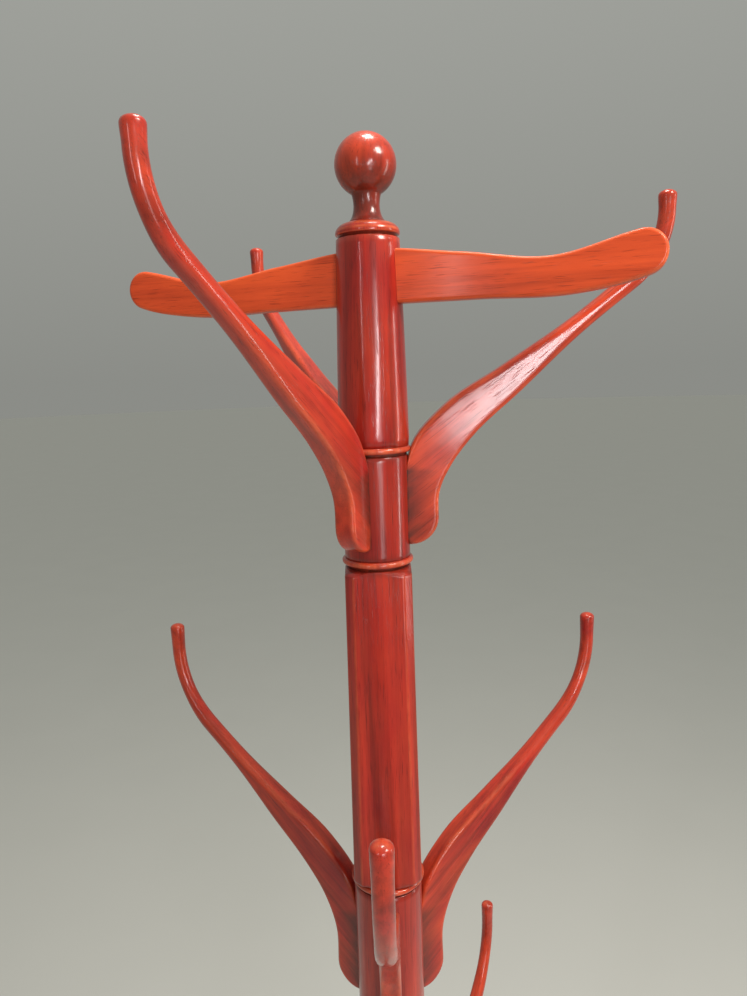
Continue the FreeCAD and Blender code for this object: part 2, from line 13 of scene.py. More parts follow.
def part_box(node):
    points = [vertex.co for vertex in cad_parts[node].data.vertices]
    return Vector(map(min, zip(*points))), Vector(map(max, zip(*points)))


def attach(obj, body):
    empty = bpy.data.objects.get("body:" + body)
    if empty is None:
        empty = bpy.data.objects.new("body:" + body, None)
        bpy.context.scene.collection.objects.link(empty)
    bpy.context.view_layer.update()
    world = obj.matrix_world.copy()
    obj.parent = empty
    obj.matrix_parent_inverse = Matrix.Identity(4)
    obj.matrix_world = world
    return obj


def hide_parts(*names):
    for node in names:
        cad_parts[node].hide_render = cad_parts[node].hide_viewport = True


bl_info = {
    "name": "Standing coat rack",
    "version": (1, 0, 0),
    "blender": (4, 5, 0),
    "location": "View3D > Sidebar > Coat rack",
    "description": "Builds the pieces of a varnished wooden coat rack around its CAD frame",
    "category": "Object",
}

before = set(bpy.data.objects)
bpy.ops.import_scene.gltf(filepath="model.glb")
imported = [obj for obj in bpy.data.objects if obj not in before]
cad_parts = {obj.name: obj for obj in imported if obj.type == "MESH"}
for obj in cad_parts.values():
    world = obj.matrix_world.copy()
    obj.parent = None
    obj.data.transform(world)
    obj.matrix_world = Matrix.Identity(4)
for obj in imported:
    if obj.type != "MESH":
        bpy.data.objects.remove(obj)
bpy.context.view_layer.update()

SAME_PLACE = 1e-6

# How many steps a full turn or a small arc is divided into.
TURNED_STEPS = 96
PAD_STEPS = 64
PLUG_STEPS = 32
ARC_STEPS = 6

# Layers on the wood's corners: place in the board, rubbed edges, painted shade, and number in a section.
GRAIN = "grain"
EDGE = "edge"
PAINTED_SHADE = "painted_shade"
CORNER = "corner"

# Material slot names.
POST_SLOT = "varnished_mahogany_post"
ARM_SLOT = "varnished_mahogany_arms"
BAR_SLOT = "varnished_mahogany_bar"
TURNING_SLOT = "varnished_mahogany_turnings"
PAD_SLOT = "foot_pad_plastic"

# The arms of the two lower tiers share their bends.
LOWER_TIER_BENDS = {"tip_straight": 0.019, "lower_bend_r": 0.090, "upper_bend_r": 0.100, "tail_length": 0.062}

# Hook arms, by tier: an arm that lies along an axis, the axis and the side it points to.
TIERS = (
    {
        "azimuths": (0.0, 120.0, 240.0),
        "straight_arm": ("tier_1_arm_1", 0, 1),
        "tip_straight": 0.007,
        "lower_bend_r": 0.073,
        "upper_bend_r": 0.070,
        "tail_length": 0.045,
    },
    {"azimuths": (29.3, 149.3, 269.3), "straight_arm": ("tier_2_arm_3", 1, -1), **LOWER_TIER_BENDS},
    {"azimuths": (60.0, 180.0, 300.0), "straight_arm": ("tier_3_arm_2", 0, -1), **LOWER_TIER_BENDS},
)
LEG_COUNT = 4
RING_COUNT = 6
BAR_AZIMUTH = -19.0

# How much of its depth a board keeps at the end of the first bend, and where along its run it has
# its middle depth and its slim depth.
BEND_SLIMMING = 0.95
MIDDLE_SHARE = 0.33
SLIM_SHARE = 0.68

# A board's section: steps round an arris, the flat kept beside it, and the largest arris that wears fully.
ARRIS_STEPS = 4
SECTION_SUPPORT = 0.0015
SHARP_ARRIS_R = 0.0035

# How deep an arm is let into its hub, how far its tail's middle line is moved towards or away from the post,
# and how far the painted shade at the joint reaches.
SEAT_DEPTH = 0.0025
TAIL_INSET = 0.001
TAIL_SHADE = 0.003

# Rows of a board over which its inner arris grows, once it is clear of the post.
FREE_ROWS = 3

# A board meets the post, and a turned piece its neighbour, with only a hair taken off its edge.
HAIR = 0.0004


class CoatRackSizes(PropertyGroup):
    """Sizes of the pieces, which start at the CAD model's own."""

    arm_thickness: FloatProperty(
        name="Arm thickness", description="Thickness of the board that the hook arms are sawn from",
        default=0.019, unit="LENGTH")
    rod_diameter: FloatProperty(
        name="Rod diameter", description="Diameter of the round end of a hook arm",
        default=0.0135, unit="LENGTH")
    tip_diameter: FloatProperty(
        name="Tip diameter", description="Diameter of the domed tip of a hook arm",
        default=0.0145, unit="LENGTH")
    arm_arris: FloatProperty(
        name="Arm arris", description="Radius of the rounded arrises of a hook arm",
        default=0.0034, unit="LENGTH")
    leg_thickness: FloatProperty(
        name="Leg thickness", description="Thickness of the board that the legs are sawn from",
        default=0.028, unit="LENGTH")
    leg_arris: FloatProperty(
        name="Leg arris", description="Radius of the rounded arrises of a leg",
        default=0.004, unit="LENGTH")
    bar_thickness: FloatProperty(
        name="Bar thickness", description="Thickness of the coat-hanger bar",
        default=0.016, unit="LENGTH")
    bar_arris: FloatProperty(
        name="Bar arris", description="Radius of the rounded arrises of the bar",
        default=0.0028, unit="LENGTH")
    chamfer: FloatProperty(
        name="Post chamfer", description="Width taken off each corner of the square post",
        default=0.007, unit="LENGTH")


class CoatRackFinish(PropertyGroup):
    """Colours and gloss of the finishes."""

    stain_deep: FloatVectorProperty(
        name="Deep stain", description="Colour of the darkest streaks of the stained wood",
        default=(0.135, 0.0045, 0.0040), size=3, min=0.0, max=1.0, subtype="COLOR")
    stain: FloatVectorProperty(
        name="Stain", description="Main colour of the stained wood",
        default=(0.370, 0.0130, 0.0100), size=3, min=0.0, max=1.0, subtype="COLOR")
    # The warm stain's colour, which on the bar is also painted light.
    warm_stain_and_light: FloatVectorProperty(
        name="Warm stain", description="Colour of the stained wood where the stain is thin",
        default=(0.820, 0.1050, 0.0240), size=3, min=0.0, max=1.0, subtype="COLOR")
    worn: FloatVectorProperty(
        name="Worn edge", description="Colour of the wood where its edges are rubbed",
        default=(0.700, 0.150, 0.055), size=3, min=0.0, max=1.0, subtype="COLOR")
    # The colour of the painted shade in grooves, creases and joints and under the ball.
    painted_shade: FloatVectorProperty(
        name="Grime", description="Colour of the dirt in the creases",
        default=(0.045, 0.012, 0.007), size=3, min=0.0, max=1.0, subtype="COLOR")
    varnish: FloatProperty(
        name="Varnish", description="How much clear varnish lies on the wood",
        default=0.8, min=0.0, max=1.0, subtype="FACTOR")
    varnish_roughness: FloatProperty(
        name="Varnish roughness", description="Roughness of the clear varnish",
        default=0.14, min=0.0, max=1.0, subtype="FACTOR")
    pore_depth: FloatProperty(
        name="Pore depth", description="Depth of the grain's pores under the varnish",
        default=0.00025, unit="LENGTH")


class CoatRackStage(PropertyGroup):
    """The floor, the lights and the camera."""

    floor_colour: FloatVectorProperty(
        name="Floor", description="Colour of the plain floor",
        default=(0.66, 0.66, 0.625), size=3, min=0.0, max=1.0, subtype="COLOR")
    sky_colour: FloatVectorProperty(
        name="Surroundings", description="Colour of the even light all round",
        default=(0.26, 0.265, 0.245), size=3, min=0.0, max=1.0, subtype="COLOR")
    sky_strength: FloatProperty(
        name="Surroundings strength", description="Strength of the even light all round",
        default=1.0, min=0.0)
    light_strength: FloatProperty(
        name="Light strength", description="Multiplies the power of every studio light",
        default=1.0, min=0.0)
    lens: FloatProperty(
        name="Lens", description="Focal length of the camera, for a sensor 36 mm long",
        default=26.57, min=1.0, unit="CAMERA")


# ---------------------------------------------------------------- points and lines


def heading_vector(angle):
    """A unit vector in the plane of a board, at an angle above the horizontal."""
    return Vector((math.cos(math.radians(angle)), 0.0, math.sin(math.radians(angle))))


def smooth_line(points, first, last, steps):
    """Points on a smooth line through the given ones, which leaves and arrives on two headings."""
    chords = [b - a for a, b in zip(points, points[1:])]
    lengths = [chord.length for chord in chords]
    slopes = [heading_vector(first)]
    for index in range(1, len(chords)):
        before = chords[index - 1] / lengths[index - 1]
        after = chords[index] / lengths[index]
        share = lengths[index - 1] + lengths[index]
        slopes.append((before * lengths[index] + after * lengths[index - 1]) / share)
    slopes.append(heading_vector(last))
    line = [points[0]]
    for index, length in enumerate(lengths):
        start = points[index]
        end = points[index + 1]
        reach = length / 3
        line += interpolate_bezier(
            start, start + slopes[index] * reach, end - slopes[index + 1] * reach, end, steps + 1)[1:]
    return line


def arc_points(centre, radius, first, last, steps):
    """Points on an arc in a profile, with its two ends."""
    angles = [math.radians(first + (last - first) * step / steps) for step in range(steps + 1)]
    return [(centre[0] + radius * math.cos(angle), centre[1] + radius * math.sin(angle)) for angle in angles]


def rounded_profile(corners):
    """A turned profile of (radius, height, corner radius), as points with a wear value each."""
    places = [Vector((r, 0.0, z)) for r, z, _ in corners]
    profile = []
    for index, (_, _, radius) in enumerate(corners):
        here = places[index]
        if radius == 0 or index in (0, len(corners) - 1):
            profile.append((here, 0.0))
            continue
        before = places[index - 1] - here
        after = places[index + 1] - here
        most = 0.49 * min(before.length, after.length)
        start = here + before.normalized() * min(radius, most)
        end = here + after.normalized() * min(radius, most)
        pull = 0.55
        points = interpolate_bezier(start, start.lerp(here, pull), end.lerp(here, pull), end, ARC_STEPS + 1)
        for step, point in enumerate(points):
            profile.append((Vector(point), math.sin(math.pi * step / ARC_STEPS)))
    return profile


# ---------------------------------------------------------------- meshes


def new_mesh():
    """An empty bmesh with the layers that the wood and the sections need."""
    bm = bmesh.new()
    bm.verts.layers.float_vector.new(GRAIN)
    bm.verts.layers.float.new(EDGE)
    bm.verts.layers.float.new(PAINTED_SHADE)
    bm.verts.layers.int.new(CORNER)
    return bm


def set_grain(bm, verts, across=(1, 0, 0), side=(0, 1, 0), along=(0, 0, 1), shift=0.0):
    """Store each corner's place in its board: across the grain, through the board and along the grain."""
    layer = bm.verts.layers.float_vector[GRAIN]
    axes = (Vector(across), Vector(side), Vector(along))
    offset = Vector((shift * 0.37, shift * 0.23, shift))
    for vert in verts:
        vert[layer] = Vector([vert.co.dot(axis) for axis in axes]) + offset


def finish_mesh(bm, name, slot, material, *nodes):
    """Make the object of a finished bmesh, on its body, in place of its CAD nodes."""
    bmesh.ops.recalc_face_normals(bm, faces=bm.faces[:])
    for face in bm.faces:
        face.smooth = True
    mesh = bpy.data.meshes.new(name)
    bm.to_mesh(mesh)
    bm.free()
    piece = bpy.data.objects.new(name, mesh)
    bpy.context.scene.collection.objects.link(piece)
    mesh.materials.append(material)
    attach(piece, "root")
    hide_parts(*nodes)
    return piece


def spin_profile(bm, profile, steps=TURNED_STEPS):
    """Turn a profile of (point, wear) about the post's axis, and return the new corners."""
    before = set(bm.verts)
    edge_layer = bm.verts.layers.float[EDGE]
    last = bmesh.ops.create_vert(bm, co=profile[0][0])["vert"][0]
    last[edge_layer] = profile[0][1]
    for point, wear in profile[1:]:
        grown = bmesh.ops.extrude_vert_indiv(bm, verts=[last])
        last = grown["verts"][0]
        last.co = point
        last[edge_layer] = wear
    line_verts = [vert for vert in bm.verts if vert not in before]
    line_edges = [edge for edge in bm.edges if edge.verts[0] in line_verts]
    bmesh.ops.spin(
        bm, geom=line_verts + line_edges, cent=(0, 0, 0), axis=(0, 0, 1), dvec=(0, 0, 0),
        angle=math.tau, steps=steps, use_merge=True, use_duplicate=False)
    turned = [vert for vert in bm.verts if vert not in before]
    bmesh.ops.remove_doubles(bm, verts=turned, dist=SAME_PLACE)
    return [vert for vert in bm.verts if vert not in before]


def set_painted_shade(bm, verts, painted_shade):
    """Store the painted shade at each corner, from its height."""
    layer = bm.verts.layers.float[PAINTED_SHADE]
    for vert in verts:
        vert[layer] = painted_shade(vert.co.z)


def turn_piece(name, node, slot, wood, profile, shift, painted_shade=None):
    """Turn one wooden piece from its profile, in place of its CAD node."""
    bm = new_mesh()
    verts = spin_profile(bm, profile)
    set_grain(bm, verts, shift=shift)
    if painted_shade:
        set_painted_shade(bm, verts, painted_shade)
    finish_mesh(bm, name, slot, wood, node)


def plain_profile(points):
    """A profile of (radius, height), with no wear on it."""
    return [(Vector((r, 0.0, z)), 0.0) for r, z in points]


def extrude_sections(bm, sections):
    """Grow a closed solid through a row of sections of (place, wear), and return its corners."""
    before = set(bm.verts)
    edge_layer = bm.verts.layers.float[EDGE]
    made = bmesh.ops.create_circle(
        bm, cap_ends=True, cap_tris=False, segments=len(sections[0]), radius=1.0)
    end = made["verts"][0].link_faces[0]
    corner_layer = bm.verts.layers.int[CORNER]
    for number, vert in enumerate(end.verts):
        vert[corner_layer] = number
    for index, section in enumerate(sections):
        if index > 0:
            grown = bmesh.ops.extrude_face_region(bm, geom=[end], use_keep_orig=True)["geom"]
            if index > 1:
                bmesh.ops.delete(bm, geom=[end], context="FACES_ONLY")
            end = next(item for item in grown if isinstance(item, bmesh.types.BMFace))
        for vert in end.verts:
            place, wear = section[vert[corner_layer]]
            vert.co = place
            vert[edge_layer] = wear
    return [vert for vert in bm.verts if vert not in before]


# ---------------------------------------------------------------- boards: arms and legs


def board_section(station):
    """The corners of a board's rounded section at a station, and how much of an arris each one is."""
    outer, inner, width, outer_r, inner_r = station
    middle = (outer + inner) / 2
    out = (outer - inner).normalized()
    side = Vector((0.0, 1.0, 0.0))
    half_depth = (outer - inner).length / 2
    half_width = width / 2
    smaller = min(half_depth, half_width)
    outer_r = min(outer_r, smaller * 0.98)
    inner_r = min(inner_r, smaller * 0.98)
    support = min(SECTION_SUPPORT, (smaller - max(outer_r, inner_r)) / 2)
    sharp = max(0.0, min(1.0, 2.0 - outer_r / SHARP_ARRIS_R))
    section = []
    for out_sign, side_sign, start, radius in (
            (1, 1, 0, outer_r), (-1, 1, 90, inner_r), (-1, -1, 180, inner_r), (1, -1, 270, outer_r)):
        centre = middle + out * (out_sign * (half_depth - radius))
        centre += side * (side_sign * (half_width - radius))
        ends = []
        for step in range(ARRIS_STEPS + 1):
            angle = math.radians(start + 90 * step / ARRIS_STEPS)
            place = centre + out * (radius * math.cos(angle)) + side * (radius * math.sin(angle))
            wear = sharp * (0.3 + 0.7 * math.sin(math.pi * step / ARRIS_STEPS))
            ends.append((place, wear))
        into = out * math.sin(math.radians(start)) - side * math.cos(math.radians(start))
        onward = -out * math.cos(math.radians(start)) - side * math.sin(math.radians(start))
        section.append((ends[0][0] + into * support, 0.0))
        section += ends
        section.append((ends[-1][0] + onward * support, 0.0))
    return section


class BoardPlan:
    """The side view of an S-shaped board: a tail on the post, a bend, a run and a second bend."""

    def __init__(self, **values):
        self.__dict__.update(values)
        angle = math.radians(self.run_angle)
        bends = self.lower_bend_r + self.upper_bend_r
        run_out = self.reach - self.tail_r - bends * (1 - math.sin(angle))
        self.bend_z = self.upper_z - bends * math.cos(angle) - run_out * math.tan(angle)
        self.bottom = self.bend_z - self.tail_length

    def lower_bend(self, heading):
        """The middle line's place on the bend by the post, where it has this heading."""
        angle = math.radians(heading)
        return Vector((
            self.tail_r + self.lower_bend_r * (1 - math.sin(angle)), 0.0,
            self.bend_z + self.lower_bend_r * math.cos(angle)))

    def upper_bend(self, heading):
        """The middle line's place on the second bend, where it has this heading."""
        angle = math.radians(heading)
        return Vector((
            self.reach - self.upper_bend_r * (1 - math.sin(angle)), 0.0,
            self.upper_z - self.upper_bend_r * math.cos(angle)))


def offset(point, heading, distance):
    """Step sideways from the middle line: positive is the outer, lower side."""
    angle = math.radians(heading)
    return point + Vector((distance * math.sin(angle), 0.0, -distance * math.cos(angle)))


def tail_stations(plan):
    """The rounded foot of the tail, from the post round to the tail's straight back."""
    centre = Vector((plan.tail_end_r - plan.lobe_r, 0.0, plan.bottom + plan.lobe_r))
    tucked = Vector((plan.seat_r + HAIR, 0.0, plan.bottom + HAIR / 2))
    first_rise = 0.34
    spread = 0.6
    inner = Vector((plan.seat_r, 0.0, plan.bottom + plan.lobe_r * first_rise))
    stations = [(tucked, inner, plan.thickness, plan.arris, HAIR)]
    for angle in range(90, 0, -10):
        rise = plan.lobe_r * (1 - spread * math.sin(math.radians(angle)))
        inner = Vector((plan.seat_r, 0.0, plan.bottom + rise))
        outer = centre + heading_vector(-angle) * plan.lobe_r
        stations.append((outer, inner, plan.thickness, plan.arris, HAIR))
    return stations


def board_stations(plan, steps=6):
    """Stations from the foot of the tail to the start of the second bend."""
    run = plan.run_angle
    start = plan.lower_bend(run)
    end = plan.upper_bend(run)
    bend_heading = (90 + run) / 2
    rows = [
        (plan.lower_bend(90), 90, plan.tail_depth),
        (plan.lower_bend(bend_heading), bend_heading, plan.bend_depth),
        (start, run, plan.bend_depth * BEND_SLIMMING),
        (start.lerp(end, MIDDLE_SHARE), run, plan.middle_depth),
        (start.lerp(end, SLIM_SHARE), run, plan.slim_depth),
        (end, run, plan.end_depth),
    ] + plan.end_rows
    outer = [offset(point, heading, depth / 2) for point, heading, depth in rows]
    inner = [offset(point, heading, -depth / 2) for point, heading, depth in rows[1:]]
    lobe_top = Vector((plan.tail_end_r, 0.0, plan.bottom + plan.lobe_r))
    seat = Vector((plan.seat_r, 0.0, 0.0))
    heel = seat + Vector((0.0, 0.0, plan.bend_z + plan.heel_rise))
    last = rows[-1][1]
    outer_line = smooth_line([lobe_top] + outer, 90, last, steps)
    heel_heading = 80
    inner_line = smooth_line([heel] + inner, heel_heading, last, steps)
    seat_line = []
    low = plan.bottom + plan.lobe_r
    for step in range(steps):
        seat_line.append(seat + Vector((0.0, 0.0, low + (plan.bend_z - low) * step / steps)))
    half = steps // 2
    for step in range(half):
        seat_line.append(seat + Vector((0.0, 0.0, plan.bend_z + plan.heel_rise * step / half)))
    inner_line = seat_line + inner_line[0:steps:2] + inner_line[steps:]
    stations = tail_stations(plan)
    free = steps + half
    taper_start = 3 * steps
    taper_length = 3 * steps
    for index, (out_point, in_point) in enumerate(zip(outer_line, inner_line)):
        freed = max(0.0, min(1.0, (index - free) / FREE_ROWS))
        inner_r = HAIR + (plan.arris - HAIR) * freed
        slimmed = ease((index - taper_start) / taper_length)
        width = plan.thickness + (plan.end_thickness - plan.thickness) * slimmed
        rounding = (plan.end_arris - plan.arris) * slimmed
        stations.append((out_point, in_point, width, plan.arris + rounding, inner_r + rounding))
    return stations


def ease(value):
    """A share from 0 to 1 that starts and stops gently."""
    value = max(0.0, min(1.0, value))
    return value * value * (3 - 2 * value)


def rod_stations(plan, sizes):
    """Stations where the board turns round, up the second bend to the domed tip."""
    stations = []
    steps = 20
    neck_share = 0.55
    dome_share = 0.62
    rod_r = sizes.rod_diameter / 2
    for step in range(1, steps + 1):
        share = step / steps
        heading = plan.run_angle + (90 - plan.run_angle) * share
        blend = ease(share / neck_share)
        depth = plan.end_depth + (sizes.rod_diameter - plan.end_depth) * blend
        width = plan.end_thickness + (sizes.rod_diameter - plan.end_thickness) * blend
        corner = plan.end_arris + (rod_r - plan.end_arris) * blend
        point = plan.upper_bend(heading)
        outer = offset(point, heading, depth / 2)
        inner = offset(point, heading, -depth / 2)
        stations.append((outer, inner, width, corner, corner))
    tip_r = sizes.tip_diameter / 2
    dome_z = plan.tip_z - tip_r * dome_share
    tip_steps = 4
    for step in range(1, tip_steps + 1):
        share = step / tip_steps
        radius = rod_r + (tip_r - rod_r) * ease(share)
        z = plan.upper_z + (dome_z - plan.upper_z) * share
        stations.append(round_station(plan.reach, z, radius))
    for angle in (15, 30, 45, 60, 72, 82, 88):
        radius = tip_r * math.cos(math.radians(angle))
        z = dome_z + tip_r * dome_share * math.sin(math.radians(angle))
        stations.append(round_station(plan.reach, z, radius))
    return stations


def round_station(reach, z, radius):
    """A round, level station of an arm's tip."""
    centre = Vector((reach, 0.0, z))
    out = Vector((radius, 0.0, 0.0))
    return (centre + out, centre - out, 2 * radius, radius, radius)


def arm_plan(tier, sizes):
    """The side view of one tier's hook arm, placed by the CAD nodes' own boxes."""
    row = TIERS[tier]
    node, axis, sign = row["straight_arm"]
    low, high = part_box(node)
    hub_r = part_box("hook_hub_%d" % (tier + 1))[1].x
    tail_depth = 0.027
    tip_r = sizes.tip_diameter / 2
    end = high[axis] if sign > 0 else -low[axis]
    return BoardPlan(
        seat_r=hub_r - SEAT_DEPTH,
        tail_r=hub_r - TAIL_INSET + tail_depth / 2,
        tail_depth=tail_depth,
        bend_depth=0.038,
        middle_depth=0.026,
        slim_depth=0.0155,
        end_depth=0.0145,
        end_rows=[],
        thickness=sizes.arm_thickness,
        end_thickness=sizes.arm_thickness - 0.004,
        arris=sizes.arm_arris,
        end_arris=0.0062,
        reach=end - tip_r,
        run_angle=37.5,
        lower_bend_r=row["lower_bend_r"],
        upper_bend_r=row["upper_bend_r"],
        upper_z=high.z - tip_r - row["tip_straight"],
        tip_z=high.z,
        heel_rise=0.019,
        tail_length=row["tail_length"],
        lobe_r=0.0235,
        tail_end_r=hub_r + 0.025,
    )


def leg_plan(sizes):
    """The side view of a leg, laid out upside down, with the floor at zero above its foot."""
    pad_low, pad_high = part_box("foot_pad_1")
    box_gap = 0.0001
    reach = (pad_low.x + pad_high.x) / 2 - box_gap
    foot_z = -pad_high.z
    ankle_z = foot_z - 0.022
    seat_r = 0.030
    tail_depth = 0.036
    foot_depth = 0.034
    return BoardPlan(
        seat_r=seat_r,
        tail_r=seat_r + TAIL_INSET + tail_depth / 2,
        tail_depth=tail_depth,
        bend_depth=0.050,
        middle_depth=0.043,
        slim_depth=0.040,
        end_depth=0.038,
        end_rows=[
            (Vector((reach, 0.0, ankle_z)), 90, foot_depth),
            (Vector((reach, 0.0, foot_z)), 90, foot_depth),
        ],
        thickness=sizes.leg_thickness,
        end_thickness=sizes.leg_thickness,
        arris=sizes.leg_arris,
        end_arris=sizes.leg_arris,
        reach=reach,
        run_angle=42.0,
        lower_bend_r=0.110,
        upper_bend_r=0.110,
        upper_z=ankle_z,
        tip_z=foot_z,
        heel_rise=0.026,
        tail_length=0.062,
        lobe_r=0.034,
        tail_end_r=seat_r + tail_depth,
    )


def grow_board(bm, stations, run_angle, shift):
    """Grow a board through its stations, with its grain along the run that it was sawn on."""
    verts = extrude_sections(bm, [board_section(station) for station in stations])
    across = heading_vector(run_angle + 90)
    set_grain(bm, verts, across=across, along=heading_vector(run_angle), shift=shift)
    return verts


def turn_about_post(bm, verts, azimuth):
    """Turn corners about the post's axis, in degrees."""
    turn = Matrix.Rotation(math.radians(azimuth), 3, "Z")
    bmesh.ops.rotate(bm, cent=(0, 0, 0), matrix=turn, verts=verts)


# ---------------------------------------------------------------- materials


def add_node(tree, kind, **values):
    """A shader node with its settings and input values."""
    node = tree.nodes.new(kind)
    for key, value in values.items():
        if key in node.inputs:
            node.inputs[key].default_value = value
        else:
            setattr(node, key, value)
    return node


def noise(tree, place, stretch, detail=4.0, roughness=0.55, distortion=0.0):
    """Noise on a stretched copy of a place, as a value."""
    mapping = add_node(tree, "ShaderNodeMapping", Scale=stretch)
    tree.links.new(place, mapping.inputs["Vector"])
    pattern = add_node(
        tree, "ShaderNodeTexNoise", Scale=1.0, Detail=detail, Roughness=roughness, Distortion=distortion)
    tree.links.new(mapping.outputs["Vector"], pattern.inputs["Vector"])
    return pattern.outputs["Fac"]


def remap(tree, value, low, high, to_low=0.0, to_high=1.0):
    """A value stretched from one range to another, and kept in it."""
    limits = {"From Min": low, "From Max": high, "To Min": to_low, "To Max": to_high}
    node = add_node(tree, "ShaderNodeMapRange", **limits)
    tree.links.new(value, node.inputs["Value"])
    return node.outputs["Result"]


def combine(tree, operation, first, second):
    """Two values, or a value and a number, put together by a Math node."""
    node = add_node(tree, "ShaderNodeMath", operation=operation)
    tree.links.new(first, node.inputs[0])
    if isinstance(second, (int, float)):
        node.inputs[1].default_value = second
    else:
        tree.links.new(second, node.inputs[1])
    return node.outputs["Value"]


def blend_colour(tree, share, first, second):
    """Two colours mixed by a value. Each is a colour or another node's output."""
    node = add_node(tree, "ShaderNodeMix", data_type="RGBA")
    tree.links.new(share, node.inputs["Factor"])
    for socket, colour in ((node.inputs[6], first), (node.inputs[7], second)):
        if isinstance(colour, bpy.types.NodeSocket):
            tree.links.new(colour, socket)
        else:
            socket.default_value = (*colour, 1.0)
    return node.outputs[2]


def new_material(name):
    """A named material with an empty tree, its surface shader and its output."""
    material = bpy.data.materials.new(name)
    material.use_nodes = True
    tree = material.node_tree
    tree.nodes.clear()
    shader = tree.nodes.new("ShaderNodeBsdfPrincipled")
    output = tree.nodes.new("ShaderNodeOutputMaterial")
    tree.links.new(shader.outputs["BSDF"], output.inputs["Surface"])
    return material, tree, shader


def attribute(tree, name, output):
    """One of the wood's layers, as a value or a vector."""
    return add_node(tree, "ShaderNodeAttribute", attribute_name=name).outputs[output]


def add_bump(tree, shader, height, distance, strength):
    """Relief from a height, under the varnish and on it."""
    bump = add_node(tree, "ShaderNodeBump", Distance=distance, Strength=strength)
    tree.links.new(height, bump.inputs["Height"])
    tree.links.new(bump.outputs["Normal"], shader.inputs["Normal"])
    tree.links.new(bump.outputs["Normal"], shader.inputs["Coat Normal"])


def varnished_wood(name, finish, warmth_and_light, wear, gloss):
    """Stained and varnished mahogany: streaks, blotches of stain, pores, rubbed edges and painted shade, and
    on the bar a warm colour that is painted light.
    """
    found = bpy.data.materials.get(name)
    if found:
        return found
    material, tree, shader = new_material(name)
    place = attribute(tree, GRAIN, "Vector")
    streaks = noise(tree, place, (190.0, 190.0, 5.0), detail=5.0, roughness=0.62, distortion=0.6)
    ribbons = noise(tree, place, (42.0, 42.0, 2.2), detail=3.0, roughness=0.5, distortion=0.9)
    blotches = noise(tree, place, (26.0, 26.0, 11.0), detail=3.0, distortion=0.3)
    pores = noise(tree, place, (1500.0, 1500.0, 42.0), detail=2.0, roughness=0.5)
    rubs = noise(tree, place, (130.0, 130.0, 45.0), roughness=0.6)
    ripple = noise(tree, place, (34.0, 34.0, 17.0), detail=2.0, roughness=0.5)

    def times(first, second):
        return combine(tree, "MULTIPLY", first, second)

    def plus(first, second):
        return combine(tree, "ADD", first, second)

    depth = plus(times(streaks, 0.45), times(ribbons, 0.55))
    wood = blend_colour(tree, remap(tree, depth, 0.36, 0.60), finish.stain_deep, finish.stain)
    # Warm share: thin stain in blotches, and on the bar painted light over nearly all of it.
    stain_left_and_light = remap(tree, blotches, 0.30, 0.70, warmth_and_light[0], warmth_and_light[1])
    lighter = times(stain_left_and_light, remap(tree, depth, 0.30, 0.62, 0.45, 1.0))
    wood = blend_colour(tree, lighter, wood, finish.warm_stain_and_light)
    open_pores = remap(tree, pores, 0.60, 0.68)
    pore_stain = [channel * 0.45 for channel in finish.stain_deep]
    wood = blend_colour(tree, times(open_pores, 0.55), wood, pore_stain)
    worn = times(attribute(tree, EDGE, "Fac"), remap(tree, rubs, 0.34, 0.66, wear * 0.15, wear))
    wood = blend_colour(tree, worn, wood, finish.worn)
    # Painted shade: the dark colour laid in by the painted-shade layer, varied by the rubs noise.
    painted_shade = times(attribute(tree, PAINTED_SHADE, "Fac"), remap(tree, rubs, 0.30, 0.62, 0.55, 1.0))
    wood = blend_colour(tree, painted_shade, wood, finish.painted_shade)
    tree.links.new(wood, shader.inputs["Base Color"])

    rough = plus(remap(tree, rubs, 0.25, 0.75, 0.30, 0.46), times(worn, 0.12))
    tree.links.new(rough, shader.inputs["Roughness"])
    shader.inputs["Specular IOR Level"].default_value = 0.12
    shader.inputs["Coat Weight"].default_value = finish.varnish * gloss
    shader.inputs["Coat Roughness"].default_value = finish.varnish_roughness
    shader.inputs["Coat IOR"].default_value = 1.5
    height = combine(tree, "SUBTRACT", times(ripple, 1.6), times(open_pores, 0.22))
    height = plus(height, times(streaks, 0.20))
    add_bump(tree, shader, height, finish.pore_depth, 0.5)
    return material


def plain_finish(name, stretch, detail, spread, colours, roughness, relief):
    """A clouded two-colour finish with relief of (stretch, depth, strength) on the part's own place."""
    material, tree, shader = new_material(name)
    place = add_node(tree, "ShaderNodeTexCoord").outputs["Object"]
    cloud = noise(tree, place, stretch, detail[0], detail[1])
    colour = blend_colour(tree, remap(tree, cloud, *spread), *colours)
    tree.links.new(colour, shader.inputs["Base Color"])
    tree.links.new(remap(tree, cloud, 0.3, 0.7, *roughness), shader.inputs["Roughness"])
    bumps = cloud if relief[0] is None else noise(tree, place, relief[0], 2.0, 0.5)
    add_bump(tree, shader, bumps, relief[1], relief[2])
    return material, shader


def bare_hardwood(name):
    """Unfinished beech for the hidden dowels, with fine straight grain and a matt surface."""
    colours = ((0.44, 0.27, 0.14), (0.66, 0.46, 0.27))
    return plain_finish(
        name, (300.0, 300.0, 30.0), (4.0, 0.6), (0.3, 0.7), colours, (0.62, 0.78), (None, 0.0002, 0.4))[0]


def zinc_steel(name):
    """Zinc-plated steel for the screws and nails, slightly clouded."""
    colours = ((0.45, 0.46, 0.47), (0.66, 0.67, 0.66))
    material, shader = plain_finish(
        name, (700.0, 700.0, 700.0), (3.0, 0.6), (0.3, 0.7), colours, (0.25, 0.42), (None, 0.00005, 0.3))
    shader.inputs["Metallic"].default_value = 1.0
    return material


